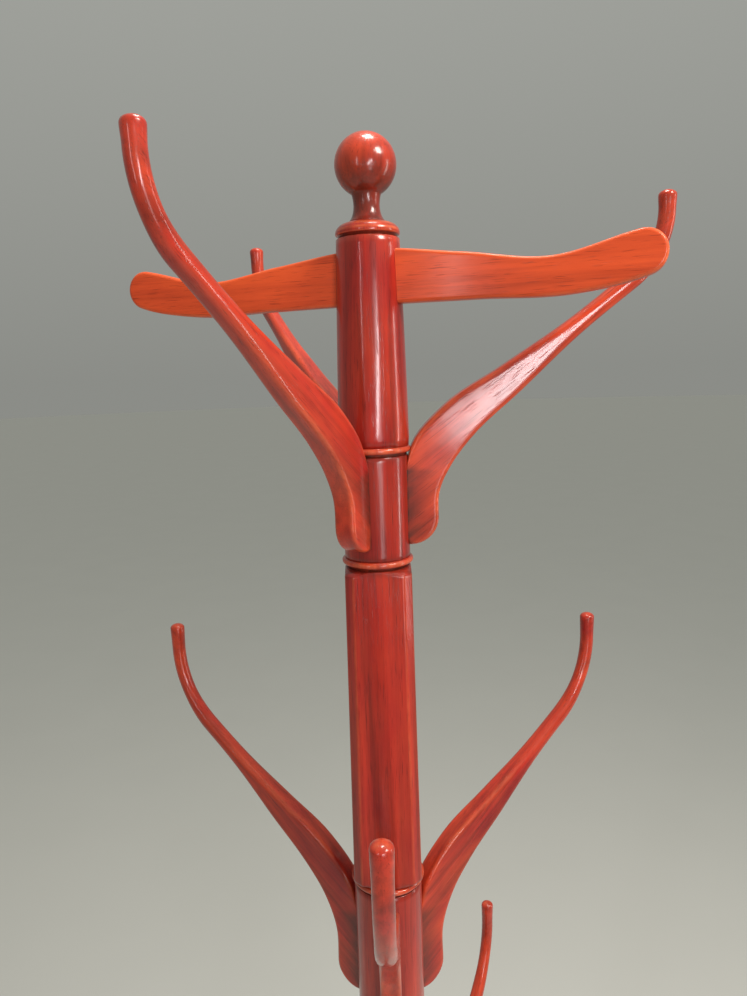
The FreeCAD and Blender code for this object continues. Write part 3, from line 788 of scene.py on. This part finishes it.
def pad_plastic(name):
    """Dark brown nylon for the foot pads, finely pebbled and scuffed."""
    colours = ((0.035, 0.022, 0.016), (0.085, 0.062, 0.048))
    relief = ((1400.0, 1400.0, 1400.0), 0.0002, 0.35)
    return plain_finish(
        name, (160.0, 160.0, 60.0), (4.0, 0.65), (0.35, 0.75), colours, (0.38, 0.62), relief)[0]


def studio_floor(name, colour):
    """A plain pale floor with a barely visible mottle."""
    material, tree, shader = new_material(name)
    place = add_node(tree, "ShaderNodeTexCoord").outputs["Object"]
    mottle = noise(tree, place, (3.0, 3.0, 3.0), 3.0, 0.5)
    darker = [channel * 0.96 for channel in colour]
    tree.links.new(blend_colour(tree, mottle, darker, colour), shader.inputs["Base Color"])
    shader.inputs["Roughness"].default_value = 0.85
    return material


# The wooden finishes: their names, the range of the thin warm stain, which on the bar is painted light, the
# wear and the share of varnish.
WOODS = {
    "post": ("Mahogany, post", (0.00, 0.24), 0.40, 1.0),
    "arms": ("Mahogany, arms", (0.00, 0.46), 0.42, 1.0),
    # The bar's warm range makes it orange all over: painted light for the light on its front.
    "bar": ("Mahogany, bar", (0.68, 1.00), 0.75, 0.35),
    "turnings": ("Mahogany, turnings", (0.05, 0.50), 0.60, 1.0),
}


def wood_for(scene, part):
    """The wooden finish of one part of the rack."""
    name, warmth_and_light, wear, gloss = WOODS[part]
    return varnished_wood(name, scene.coat_rack_finish, warmth_and_light, wear, gloss)


# ---------------------------------------------------------------- operators: the post


class COATRACK_OT_round_post(Operator):
    """Turn the round upper post and the three round hubs that carry the hook arms"""

    bl_idname = "coat_rack.round_post"
    bl_label = "Round post and hubs"

    def execute(self, context):
        wood = wood_for(context.scene, "post")
        low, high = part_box("upper_post")
        base_r = high.x
        top_r = 0.026
        rim = 0.0006
        side = interpolate_bezier(
            Vector((base_r, 0, low.z)), Vector((base_r - 0.0008, 0, low.z + 0.055)),
            Vector((0.0274, 0, high.z - 0.045)), Vector((top_r, 0, high.z)), 25)
        shaft = plain_profile([(0, low.z), (base_r - rim, low.z)])
        shaft += [(point, 0.0) for point in side[1:-1]]
        shaft += [(Vector((top_r, 0, high.z - rim)), 0.4), (Vector((top_r - rim, 0, high.z)), 0.4)]
        shaft += plain_profile([(0, high.z)])
        turn_piece("round_post", "upper_post", POST_SLOT, wood, shaft, 0.4)
        for tier in range(len(TIERS)):
            self.turn_hub(tier, wood)
        return {"FINISHED"}

    def turn_hub(self, tier, wood):
        """A plain round hub, with a hair taken off its rims."""
        node = "hook_hub_%d" % (tier + 1)
        low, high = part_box(node)
        radius = high.x
        rows = 24
        points = [(0, low.z), (radius - HAIR, low.z)]
        for row in range(rows + 1):
            points.append((radius, low.z + HAIR + (high.z - low.z - 2 * HAIR) * row / rows))
        points += [(radius - HAIR, high.z), (0, high.z)]
        # Painted shade at both ends of the hub, where the rings meet it.
        shade = end_shade(low.z, high.z, 0.006)
        name = "post_hub_%d" % (tier + 1)
        turn_piece(name, node, POST_SLOT, wood, plain_profile(points), 1.3 + 0.9 * tier, shade)


def end_shade(low, high, depth):
    """Painted shade by height, where a section meets the rings at its ends."""

    def painted_shade(z):
        return 0.5 * max(0.0, 1.0 - min(z - low, high - z) / depth)

    return painted_shade


# How far a square section's edges are eased, how many times that the flat beside them takes, and the
# length of its turned shoulders.
CORNER_EASE = 0.0007
FLAT_SUPPORT = 2.6
SHOULDER_LENGTH = 0.018


def square_corner_angles(half, chamfer):
    """Angles round a chamfered square: close pairs at each corner, and a few on every flat."""
    flat = half - chamfer
    corners = []
    for quarter in range(4):
        turn = Matrix.Rotation(math.radians(90 * quarter), 2)
        corners.append(turn @ Vector((half, -flat)))
        corners.append(turn @ Vector((half, flat)))
    places = []
    for index, corner in enumerate(corners):
        following = corners[(index + 1) % len(corners)]
        length = (following - corner).length
        inset = CORNER_EASE / length
        steps = 12 if index % 2 == 0 else 4
        for step in range(steps + 1):
            share = inset + (1 - 2 * inset) * step / steps
            if step == 1:
                share = inset * FLAT_SUPPORT
            if step == steps - 1:
                share = 1 - inset * FLAT_SUPPORT
            place = corner.lerp(following, share)
            wear = 1.0 if step in (0, steps) else 0.0
            places.append((math.atan2(place.y, place.x), wear))
    return places


def square_radius(angle, half, chamfer):
    """Distance from the axis to the face of a chamfered square, at an angle."""
    x = abs(math.cos(angle))
    y = abs(math.sin(angle))
    return min(half / max(x, y), (2 * half - chamfer) / (x + y))


class COATRACK_OT_square_post(Operator):
    """Plane the square sections of the post, with chamfered corners and turned shoulders"""

    bl_idname = "coat_rack.square_post"
    bl_label = "Square post sections"

    def execute(self, context):
        wood = wood_for(context.scene, "post")
        chamfer = context.scene.coat_rack_sizes.chamfer
        rows = (
            ("square_post_1", 0.057, 0.0615, True),
            ("square_post_2", 0.062, 0.064, True),
            ("lower_post", 0.065, 0.066, False),
        )
        for index, (node, high_side, low_side, low_shoulder) in enumerate(rows):
            low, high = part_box(node)
            heights = section_heights(low.z, high.z, low_shoulder)
            sections = []
            for z in heights:
                share = (z - low.z) / (high.z - low.z)
                half = (low_side + (high_side - low_side) * share) / 2
                envelope = shoulder_radius(z, low.z, high.z, low_side, high_side, low_shoulder)
                section = []
                for angle, wear in square_corner_angles(half, chamfer):
                    square = square_radius(angle, half, chamfer)
                    radius = min(square, envelope)
                    shown = wear if square <= envelope else 0.0
                    place = Vector((radius * math.cos(angle), radius * math.sin(angle), z))
                    section.append((place, shown * 0.6))
                sections.append(section)
            bm = new_mesh()
            verts = extrude_sections(bm, sections)
            set_grain(bm, verts, shift=4.1 + 1.7 * index)
            # Painted shade at the ends next to the rings; none at the lower post's foot.
            shaded_low = low.z if low_shoulder else low.z - 1.0
            set_painted_shade(bm, verts, end_shade(shaded_low, high.z, 0.007))
            finish_mesh(bm, "planed_post_%d" % (index + 1), POST_SLOT, wood, node)
        return {"FINISHED"}


def section_heights(low, high, low_shoulder):
    """Heights of the sections of a square post, close together on its shoulders."""
    fine = [0.0, HAIR] + [SHOULDER_LENGTH * step / 12 for step in range(1, 13)] + [0.02]
    bottom = fine if low_shoulder else [0.0, 0.0006]
    margin = 0.03
    rows = 12
    middle = [low + margin + (high - low - 2 * margin) * row / rows for row in range(rows + 1)]
    return [low + gap for gap in bottom] + middle + [high - gap for gap in reversed(fine)]


def shoulder_radius(z, low, high, low_side, high_side, low_shoulder):
    """Radius of the turned shoulders that the ends of a square section are rounded to."""
    top_gap = high - z
    bottom_gap = z - low if low_shoulder else SHOULDER_LENGTH
    rim = 0.0005
    radius = 1.0
    if top_gap < SHOULDER_LENGTH:
        radius = high_side / 2 + (low_side - high_side / 2) * top_gap / SHOULDER_LENGTH
        radius -= rim * max(0.0, 1 - top_gap / HAIR)
    if bottom_gap < SHOULDER_LENGTH:
        radius = low_side / 2 + low_side / 2 * bottom_gap / SHOULDER_LENGTH
        radius -= rim * max(0.0, 1 - bottom_gap / HAIR)
    return radius


class COATRACK_OT_bead_rings(Operator):
    """Turn the six bead rings between the sections of the post"""

    bl_idname = "coat_rack.bead_rings"
    bl_label = "Bead rings"

    def execute(self, context):
        wood = wood_for(context.scene, "turnings")
        neck_h = 0.0025
        neck_depth = 0.0035
        bore = 0.012
        steps = 12
        for index in range(RING_COUNT):
            node = "bead_ring_%d" % (index + 1)
            low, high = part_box(node)
            radius = high.x
            bead_z = low.z + neck_h
            bead = (high.z - bead_z) / 2
            neck_r = radius - neck_depth
            profile = plain_profile([
                (bore, low.z), (neck_r, low.z), (neck_r, bead_z - HAIR), (neck_r + HAIR, bead_z)])
            profile += worn_arc((radius - bead, bead_z + bead), bead, -90, 90, steps, 0.85, 2)
            profile += plain_profile([(neck_r, high.z), (bore, high.z), (bore, low.z)])
            name = "turned_ring_%d" % (index + 1)
            # Painted shade in the groove under the bead.
            shade = groove_shade(bead_z + HAIR / 2, 0.9)
            turn_piece(name, node, TURNING_SLOT, wood, profile, 9.0 + 0.31 * index, shade)
        return {"FINISHED"}


def worn_arc(centre, radius, first, last, steps, wear, power):
    """An arc in a profile that is rubbed most in its middle."""
    places = arc_points(centre, radius, first, last, steps)
    rubbed = [wear * math.sin(math.pi * step / steps) ** power for step in range(steps + 1)]
    return [(Vector((r, 0.0, z)), share) for (r, z), share in zip(places, rubbed)]


def groove_shade(top, amount):
    """Painted shade by height, in the groove under a bead."""
    return lambda z: amount if z < top else 0.0


class COATRACK_OT_finial(Operator):
    """Turn the cap and the ball finial at the top of the post"""

    bl_idname = "coat_rack.finial"
    bl_label = "Cap and finial"

    def execute(self, context):
        wood = wood_for(context.scene, "turnings")
        self.turn_cap(wood)
        self.turn_ball(wood)
        return {"FINISHED"}

    def turn_cap(self, wood):
        """The cap: a groove with painted shade, a bead and a shallow slope up to the finial."""
        low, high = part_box("top_cap")
        z = low.z
        cap = plain_profile([(0, z), (0.024, z), (0.024, z + 0.0024)])
        cap += rounded_profile([
            (0.024, z + 0.0027, 0), (0.0262, z + 0.0027, 0.0012), (0.0264, z + 0.0062, 0.0016),
            (0.0232, z + 0.0106, 0.004), (0.016, high.z, 0.0)])[1:]
        cap += plain_profile([(0, high.z)])
        # Painted shade in the groove under the cap's bead.
        turn_piece("turned_cap", "top_cap", TURNING_SLOT, wood, cap, 12.0, groove_shade(z + 0.0026, 0.95))

    def turn_ball(self, wood):
        """The finial: a flared foot, a slender neck and the ball."""
        low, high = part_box("finial")
        foot = low.z
        foot_r = 0.0142
        rim = 0.0006
        ball_r = high.x
        centre_z = high.z - ball_r
        neck_r = 0.012
        neck_z = centre_z - math.sqrt(ball_r ** 2 - neck_r ** 2)
        start = math.degrees(math.atan2(neck_z - centre_z, neck_r))
        points = [(0, foot), (foot_r, foot)]
        points += arc_points((foot_r, foot + rim), rim, -90, 60, 6)
        neck = interpolate_bezier(
            Vector((0.0145, 0, foot + 0.0011)), Vector((0.0112, 0, foot + 0.0048)),
            Vector((0.0092, 0, foot + 0.0125)), Vector((neck_r, 0, neck_z)), 18)
        points += [(point.x, point.z) for point in neck[1:-1]]
        points += arc_points((0, centre_z), ball_r, start, 90, 40)

        # Painted shade: towards the foot, in the crease at the neck, and over the ball's lower half.
        def painted_shade(z):
            foot_shade = 0.60 * max(0.0, 1.0 - (z - foot) / 0.016)
            crease = 0.6 * max(0.0, 1.0 - abs(z - neck_z) / 0.004)
            underside = 0.75 * ease((centre_z - z) / ball_r + 0.35)
            return max(foot_shade, crease, underside)

        turn_piece("ball_finial", "finial", TURNING_SLOT, wood, plain_profile(points), 13.1, painted_shade)


class COATRACK_OT_bottom_drop(Operator):
    """Turn the drop that closes the lower end of the post"""

    bl_idname = "coat_rack.bottom_drop"
    bl_label = "Bottom drop"

    def execute(self, context):
        low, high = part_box("bottom_button")
        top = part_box("lower_post")[0].z
        tenon_r = 0.012
        bead_r = 0.003
        bead_out = 0.028
        profile = plain_profile([(0, high.z), (tenon_r, high.z), (tenon_r, top), (bead_out, top)])
        profile += worn_arc((bead_out, top - bead_r), bead_r, 90, -90, 10, 0.7, 1)[1:]
        bowl = interpolate_bezier(
            Vector((0.024, 0, top - 0.006)), Vector((0.0235, 0, low.z + 0.014)),
            Vector((0.0165, 0, low.z + 0.001)), Vector((0.006, 0, low.z)), 16)
        profile += [(point, 0.0) for point in bowl] + plain_profile([(0, low.z)])
        wood = wood_for(context.scene, "turnings")
        turn_piece("bottom_drop", "bottom_button", TURNING_SLOT, wood, profile, 15.0)
        return {"FINISHED"}


# ---------------------------------------------------------------- operators: bar, arms and legs


def bar_outline():
    """The side view of the coat-hanger bar, as places all the way round."""
    top_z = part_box("hanger_bar")[1].z
    end_r = 0.0165
    half_length = 0.229
    centre = Vector((half_length - end_r, 0.0, 1.741))
    end_first = 100
    end_last = -70
    end_steps = 22

    def on_end(angle):
        return centre + heading_vector(angle) * end_r

    top = smooth_line(
        [Vector((0, 0, top_z)), Vector((0.080, 0, 1.7515)), Vector((0.148, 0, 1.7435)), on_end(end_first)],
        0, 10, 14)
    turn = end_last - end_first
    end = [on_end(end_first + turn * step / end_steps) for step in range(1, end_steps)]
    bottom = smooth_line(
        [on_end(end_last), Vector((0.165, 0, 1.7152)), Vector((0.090, 0, 1.7155)), Vector((0, 0, 1.716))],
        200, 180, 12)
    half = top[1:] + end + bottom[:-1]
    other = [Vector((-point.x, 0, point.z)) for point in reversed(half)]
    return [top[0]] + half + [bottom[-1]] + other


class COATRACK_OT_hanger_bar(Operator):
    """Saw the coat-hanger bar from its outline and round its arrises"""

    bl_idname = "coat_rack.hanger_bar"
    bl_label = "Coat-hanger bar"

    def execute(self, context):
        sizes = context.scene.coat_rack_sizes
        bm = new_mesh()
        outline = bar_outline()
        made = bmesh.ops.create_circle(
            bm, cap_ends=True, cap_tris=False, segments=len(outline), radius=1.0)
        face = made["verts"][0].link_faces[0]
        half = sizes.bar_thickness / 2
        for vert, point in zip(face.verts, outline):
            vert.co = point + Vector((0, -half, 0))
        grown = bmesh.ops.extrude_face_region(bm, geom=[face])["geom"]
        verts = [item for item in grown if isinstance(item, bmesh.types.BMVert)]
        bmesh.ops.translate(bm, verts=verts, vec=(0, 2 * half, 0))
        bmesh.ops.recalc_face_normals(bm, faces=bm.faces[:])
        rims = [edge for edge in bm.edges if abs(edge.verts[0].co.y - edge.verts[1].co.y) < SAME_PLACE]
        bevelled = bmesh.ops.bevel(
            bm, geom=rims, offset=sizes.bar_arris, offset_type="OFFSET", segments=5, profile=0.5,
            affect="EDGES", material=-1, clamp_overlap=True)
        wear = bm.verts.layers.float[EDGE]
        for vert in bevelled["verts"]:
            depth = (half - abs(vert.co.y)) / sizes.bar_arris
            vert[wear] = max(0.0, math.sin(math.pi * min(1.0, max(0.0, depth)))) ** 0.6
        broad = [item for item in bm.faces if len(item.verts) == len(outline)]
        bmesh.ops.inset_region(bm, faces=broad, thickness=0.0009, depth=0.0, use_even_offset=True)
        for item in broad:
            for vert in item.verts:
                vert[wear] = 0.0
        set_grain(bm, bm.verts, across=(0, 0, 1), along=(1, 0, 0), shift=17.0)
        turn_about_post(bm, bm.verts[:], BAR_AZIMUTH)
        finish_mesh(bm, "coat_hanger_bar", BAR_SLOT, wood_for(context.scene, "bar"), "hanger_bar")
        return {"FINISHED"}


class COATRACK_OT_hook_arms(Operator):
    """Shape the nine hook arms, from sawn board to round domed tip"""

    bl_idname = "coat_rack.hook_arms"
    bl_label = "Hook arms"

    def execute(self, context):
        sizes = context.scene.coat_rack_sizes
        wood = wood_for(context.scene, "arms")
        for tier, row in enumerate(TIERS):
            plan = arm_plan(tier, sizes)
            stations = board_stations(plan) + rod_stations(plan, sizes)
            for index, azimuth in enumerate(row["azimuths"]):
                bm = new_mesh()
                verts = grow_board(bm, stations, plan.run_angle, 20.0 + 3.7 * tier + 1.13 * index)
                # Painted shade where the tail meets the post.
                set_tail_shade(bm, verts, plan)
                turn_about_post(bm, verts, azimuth)
                name = "hook_arm_%d_%d" % (tier + 1, index + 1)
                finish_mesh(bm, name, ARM_SLOT, wood, "tier_%d_arm_%d" % (tier + 1, index + 1))
        return {"FINISHED"}


def set_tail_shade(bm, verts, plan):
    """Painted shade where a tail sits on the post."""
    layer = bm.verts.layers.float[PAINTED_SHADE]
    for vert in verts:
        on_tail = vert.co.z < plan.bend_z + plan.heel_rise
        gap = vert.co.x - plan.seat_r - SEAT_DEPTH
        vert[layer] = 0.7 * max(0.0, 1.0 - gap / TAIL_SHADE) if on_tail else 0.0


class COATRACK_OT_legs(Operator):
    """Shape the four curved legs and dome the plugs over their screws"""

    bl_idname = "coat_rack.legs"
    bl_label = "Legs"

    def execute(self, context):
        sizes = context.scene.coat_rack_sizes
        wood = wood_for(context.scene, "arms")
        plan = leg_plan(sizes)
        stations = board_stations(plan, 8)
        for index in range(LEG_COUNT):
            bm = new_mesh()
            grow_board(bm, stations, plan.run_angle, 40.0 + 1.31 * index)
            ease_foot(bm)
            bmesh.ops.scale(bm, vec=(1, 1, -1), verts=bm.verts[:])
            turn_about_post(bm, bm.verts[:], 360 * index / LEG_COUNT)
            finish_mesh(bm, "curved_leg_%d" % (index + 1), ARM_SLOT, wood, "leg_%d" % (index + 1))
        self.add_plugs(plan, wood)
        return {"FINISHED"}

    def add_plugs(self, plan, wood):
        """Shallow domes just proud of the tails, where the screws are plugged."""
        low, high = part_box("leg_screw_plugs")
        plug_r = 0.006
        heights = (high.z - plug_r, low.z + plug_r)
        face_r = high.x
        root = -0.004
        rim = 0.0006
        profile = plain_profile([
            (0, root), (plug_r, root), (plug_r, 0.0), (plug_r - rim, 0.0005), (0.003, 0.0008), (0, 0.0009)])
        outwards = Matrix.Rotation(math.radians(90), 3, "Y")
        bm = new_mesh()
        for azimuth in range(0, 360, 360 // LEG_COUNT):
            for z in heights:
                verts = spin_profile(bm, profile, PLUG_STEPS)
                bmesh.ops.rotate(bm, cent=(0, 0, 0), matrix=outwards, verts=verts)
                bmesh.ops.translate(bm, vec=(face_r - rim, 0, z), verts=verts)
                turn_about_post(bm, verts, azimuth)
        set_grain(bm, bm.verts, shift=47.0)
        finish_mesh(bm, "screw_plugs", ARM_SLOT, wood, "leg_screw_plugs")


def ease_foot(bm):
    """Round the rim of the flat end of a leg, where it sits on its pad."""
    top = max(vert.co.z for vert in bm.verts)
    rim = [edge for edge in bm.edges if all(abs(vert.co.z - top) < SAME_PLACE for vert in edge.verts)]
    bmesh.ops.bevel(
        bm, geom=rim, offset=0.0012, offset_type="OFFSET", segments=3, profile=0.5,
        affect="EDGES", material=-1, clamp_overlap=True)


class COATRACK_OT_foot_pads(Operator):
    """Turn the four foot pads under the legs"""

    bl_idname = "coat_rack.foot_pads"
    bl_label = "Foot pads"

    def execute(self, context):
        plastic = pad_plastic("Nylon, foot pads")
        for index in range(LEG_COUNT):
            node = "foot_pad_%d" % (index + 1)
            low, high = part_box(node)
            centre = (low + high) / 2
            radius = (high.x - low.x) / 2
            height = high.z - low.z
            profile = rounded_profile([
                (0.0, 0.0015, 0), (0.0035, 0.0015, 0.0002), (0.0035, 0.0, 0.0002),
                (radius, 0.0, 0.0013), (radius, height, 0.0005), (0.0, height, 0)])
            bm = new_mesh()
            verts = spin_profile(bm, profile, PAD_STEPS)
            bmesh.ops.translate(bm, vec=(centre.x, centre.y, low.z), verts=verts)
            finish_mesh(bm, "nylon_pad_%d" % (index + 1), PAD_SLOT, plastic, node)
        return {"FINISHED"}


class COATRACK_OT_hidden_joinery(Operator):
    """Give the hidden dowels, screws and nails their finishes"""

    bl_idname = "coat_rack.hidden_joinery"
    bl_label = "Hidden joinery"

    def execute(self, context):
        beech = bare_hardwood("Beech, dowels")
        steel = zinc_steel("Zinc-plated steel, fixings")
        for name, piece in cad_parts.items():
            if "dowel" in name:
                dress(piece, beech)
            elif name in ("leg_screws", "foot_pad_nails"):
                dress(piece, steel)
        return {"FINISHED"}


def dress(piece, material):
    """Put one material in every slot of a CAD node."""
    for slot in piece.material_slots:
        slot.link = "OBJECT"
        slot.material = material


# ---------------------------------------------------------------- operator: the stage


# The camera's place in metres, and its angles in degrees.
CAMERA_PLACE = (0.0, -0.625, 1.6614)
CAMERA_YAW = 0.19
CAMERA_DIP = 9.7
CAMERA_ROLL = -1.87

# How many times brighter the surroundings are overhead.
OVERHEAD_GAIN = 1.8


class COATRACK_OT_stage(Operator):
    """Set the pale floor, the studio lights and the camera"""

    bl_idname = "coat_rack.stage"
    bl_label = "Stage"

    def execute(self, context):
        scene = context.scene
        stage = scene.coat_rack_stage
        bm = bmesh.new()
        bmesh.ops.create_circle(bm, cap_ends=True, cap_tris=False, segments=96, radius=40.0)
        mesh = bpy.data.meshes.new("Floor")
        bm.to_mesh(mesh)
        bm.free()
        floor = bpy.data.objects.new("Floor", mesh)
        scene.collection.objects.link(floor)
        mesh.materials.append(studio_floor("Pale floor", stage.floor_colour))
        self.add_world(scene, stage)
        self.add_lights(scene, stage)
        self.add_camera(scene, stage)
        return {"FINISHED"}

    def add_world(self, scene, stage):
        """Even light all round, a little stronger from above."""
        world = bpy.data.worlds.new("Studio")
        scene.world = world
        world.use_nodes = True
        tree = world.node_tree
        background = tree.nodes["Background"]
        place = tree.nodes.new("ShaderNodeTexCoord").outputs["Generated"]
        split = tree.nodes.new("ShaderNodeSeparateXYZ")
        tree.links.new(place, split.inputs["Vector"])
        rise = remap(tree, split.outputs["Z"], 0.0, 1.0)
        low = stage.sky_colour
        high = [min(1.0, channel * OVERHEAD_GAIN) for channel in low]
        tree.links.new(blend_colour(tree, rise, low, high), background.inputs["Color"])
        background.inputs["Strength"].default_value = stage.sky_strength
        scene.view_settings.view_transform = "Standard"

    def add_lights(self, scene, stage):
        """Soft lights, by name, place, target, width, height, turn from upright, power and colour."""
        rows = (
            ("Key", (1.1, -0.75, 2.75), (0, 0, 1.5), 0.5, 0.5, 0, 30, (1.0, 0.93, 0.84)),
            ("Overhead", (0.15, 0.10, 3.0), (0, 0, 1.2), 0.4, 0.4, 0, 15, (1.0, 0.94, 0.86)),
            ("Slanted strip", (0.54, -1.75, 1.68), (0.14, 0, 1.66), 0.15, 0.72, -48, 8, (0.97, 0.98, 1.0)),
            ("Front panel", (0.62, -1.80, 1.40), (0, 0, 1.40), 0.42, 1.3, 0, 6, (1.0, 0.94, 0.95)),
            ("Left strip", (-1.0, -1.75, 1.80), (0, 0, 1.60), 0.08, 0.9, 0, 3.5, (0.98, 0.97, 1.0)),
            ("Right strip", (2.0, -0.1, 1.5), (0, 0, 1.5), 0.14, 1.5, 0, 8, (1.0, 0.95, 0.9)),
        )
        for name, place, target, width, height, turn, power, colour in rows:
            light = bpy.data.lights.new(name, "AREA")
            light.shape = "RECTANGLE"
            light.size = width
            light.size_y = height
            light.energy = power * stage.light_strength
            light.color = colour
            lamp = bpy.data.objects.new(name, light)
            lamp.location = place
            toward = Vector(target) - Vector(place)
            aim = toward.to_track_quat("-Z", "Y").to_matrix()
            lamp.rotation_euler = (aim @ Matrix.Rotation(math.radians(turn), 3, "Z")).to_euler()
            scene.collection.objects.link(lamp)

    def add_camera(self, scene, stage):
        """The camera, close in front of the post and a little below its top."""
        camera = bpy.data.objects.new("Camera", bpy.data.cameras.new("Camera"))
        camera.data.lens = stage.lens
        camera.data.sensor_width = 36.0
        camera.data.clip_start = 0.01
        yaw = Matrix.Rotation(math.radians(CAMERA_YAW), 3, "Z")
        tilt = Matrix.Rotation(math.radians(90.0 - CAMERA_DIP), 3, "X")
        roll = Matrix.Rotation(math.radians(CAMERA_ROLL), 3, "Z")
        camera.location = CAMERA_PLACE
        camera.rotation_euler = (yaw @ tilt @ roll).to_euler()
        scene.collection.objects.link(camera)
        scene.camera = camera


# ---------------------------------------------------------------- the panel and registration


STEPS = (
    COATRACK_OT_round_post,
    COATRACK_OT_square_post,
    COATRACK_OT_bead_rings,
    COATRACK_OT_finial,
    COATRACK_OT_bottom_drop,
    COATRACK_OT_hanger_bar,
    COATRACK_OT_hook_arms,
    COATRACK_OT_legs,
    COATRACK_OT_foot_pads,
    COATRACK_OT_hidden_joinery,
    COATRACK_OT_stage,
)


class COATRACK_PT_panel(Panel):
    """Lists the steps that build the coat rack, with its sizes and finishes"""

    bl_label = "Coat rack"
    bl_idname = "COATRACK_PT_panel"
    bl_space_type = "VIEW_3D"
    bl_region_type = "UI"
    bl_category = "Coat rack"

    def draw(self, context):
        layout = self.layout
        for group in ("coat_rack_sizes", "coat_rack_finish", "coat_rack_stage"):
            values = getattr(context.scene, group)
            box = layout.box()
            for key in values.__annotations__:
                box.prop(values, key)
        for step in STEPS:
            layout.operator(step.bl_idname)


GROUPS = (
    ("coat_rack_sizes", CoatRackSizes),
    ("coat_rack_finish", CoatRackFinish),
    ("coat_rack_stage", CoatRackStage),
)


def register():
    """Register the property groups, the operators and the panel."""
    for name, group in GROUPS:
        bpy.utils.register_class(group)
        setattr(bpy.types.Scene, name, PointerProperty(type=group))
    for step in STEPS:
        bpy.utils.register_class(step)
    bpy.utils.register_class(COATRACK_PT_panel)


def unregister():
    """Take back what register has done."""
    bpy.utils.unregister_class(COATRACK_PT_panel)
    for step in reversed(STEPS):
        bpy.utils.unregister_class(step)
    for name, group in reversed(GROUPS):
        delattr(bpy.types.Scene, name)
        bpy.utils.unregister_class(group)


def main():
    """Register the classes and build every piece in order."""
    register()
    for step in STEPS:
        area, action = step.bl_idname.split(".")
        getattr(getattr(bpy.ops, area), action)()


if __name__ == "__main__":
    main()
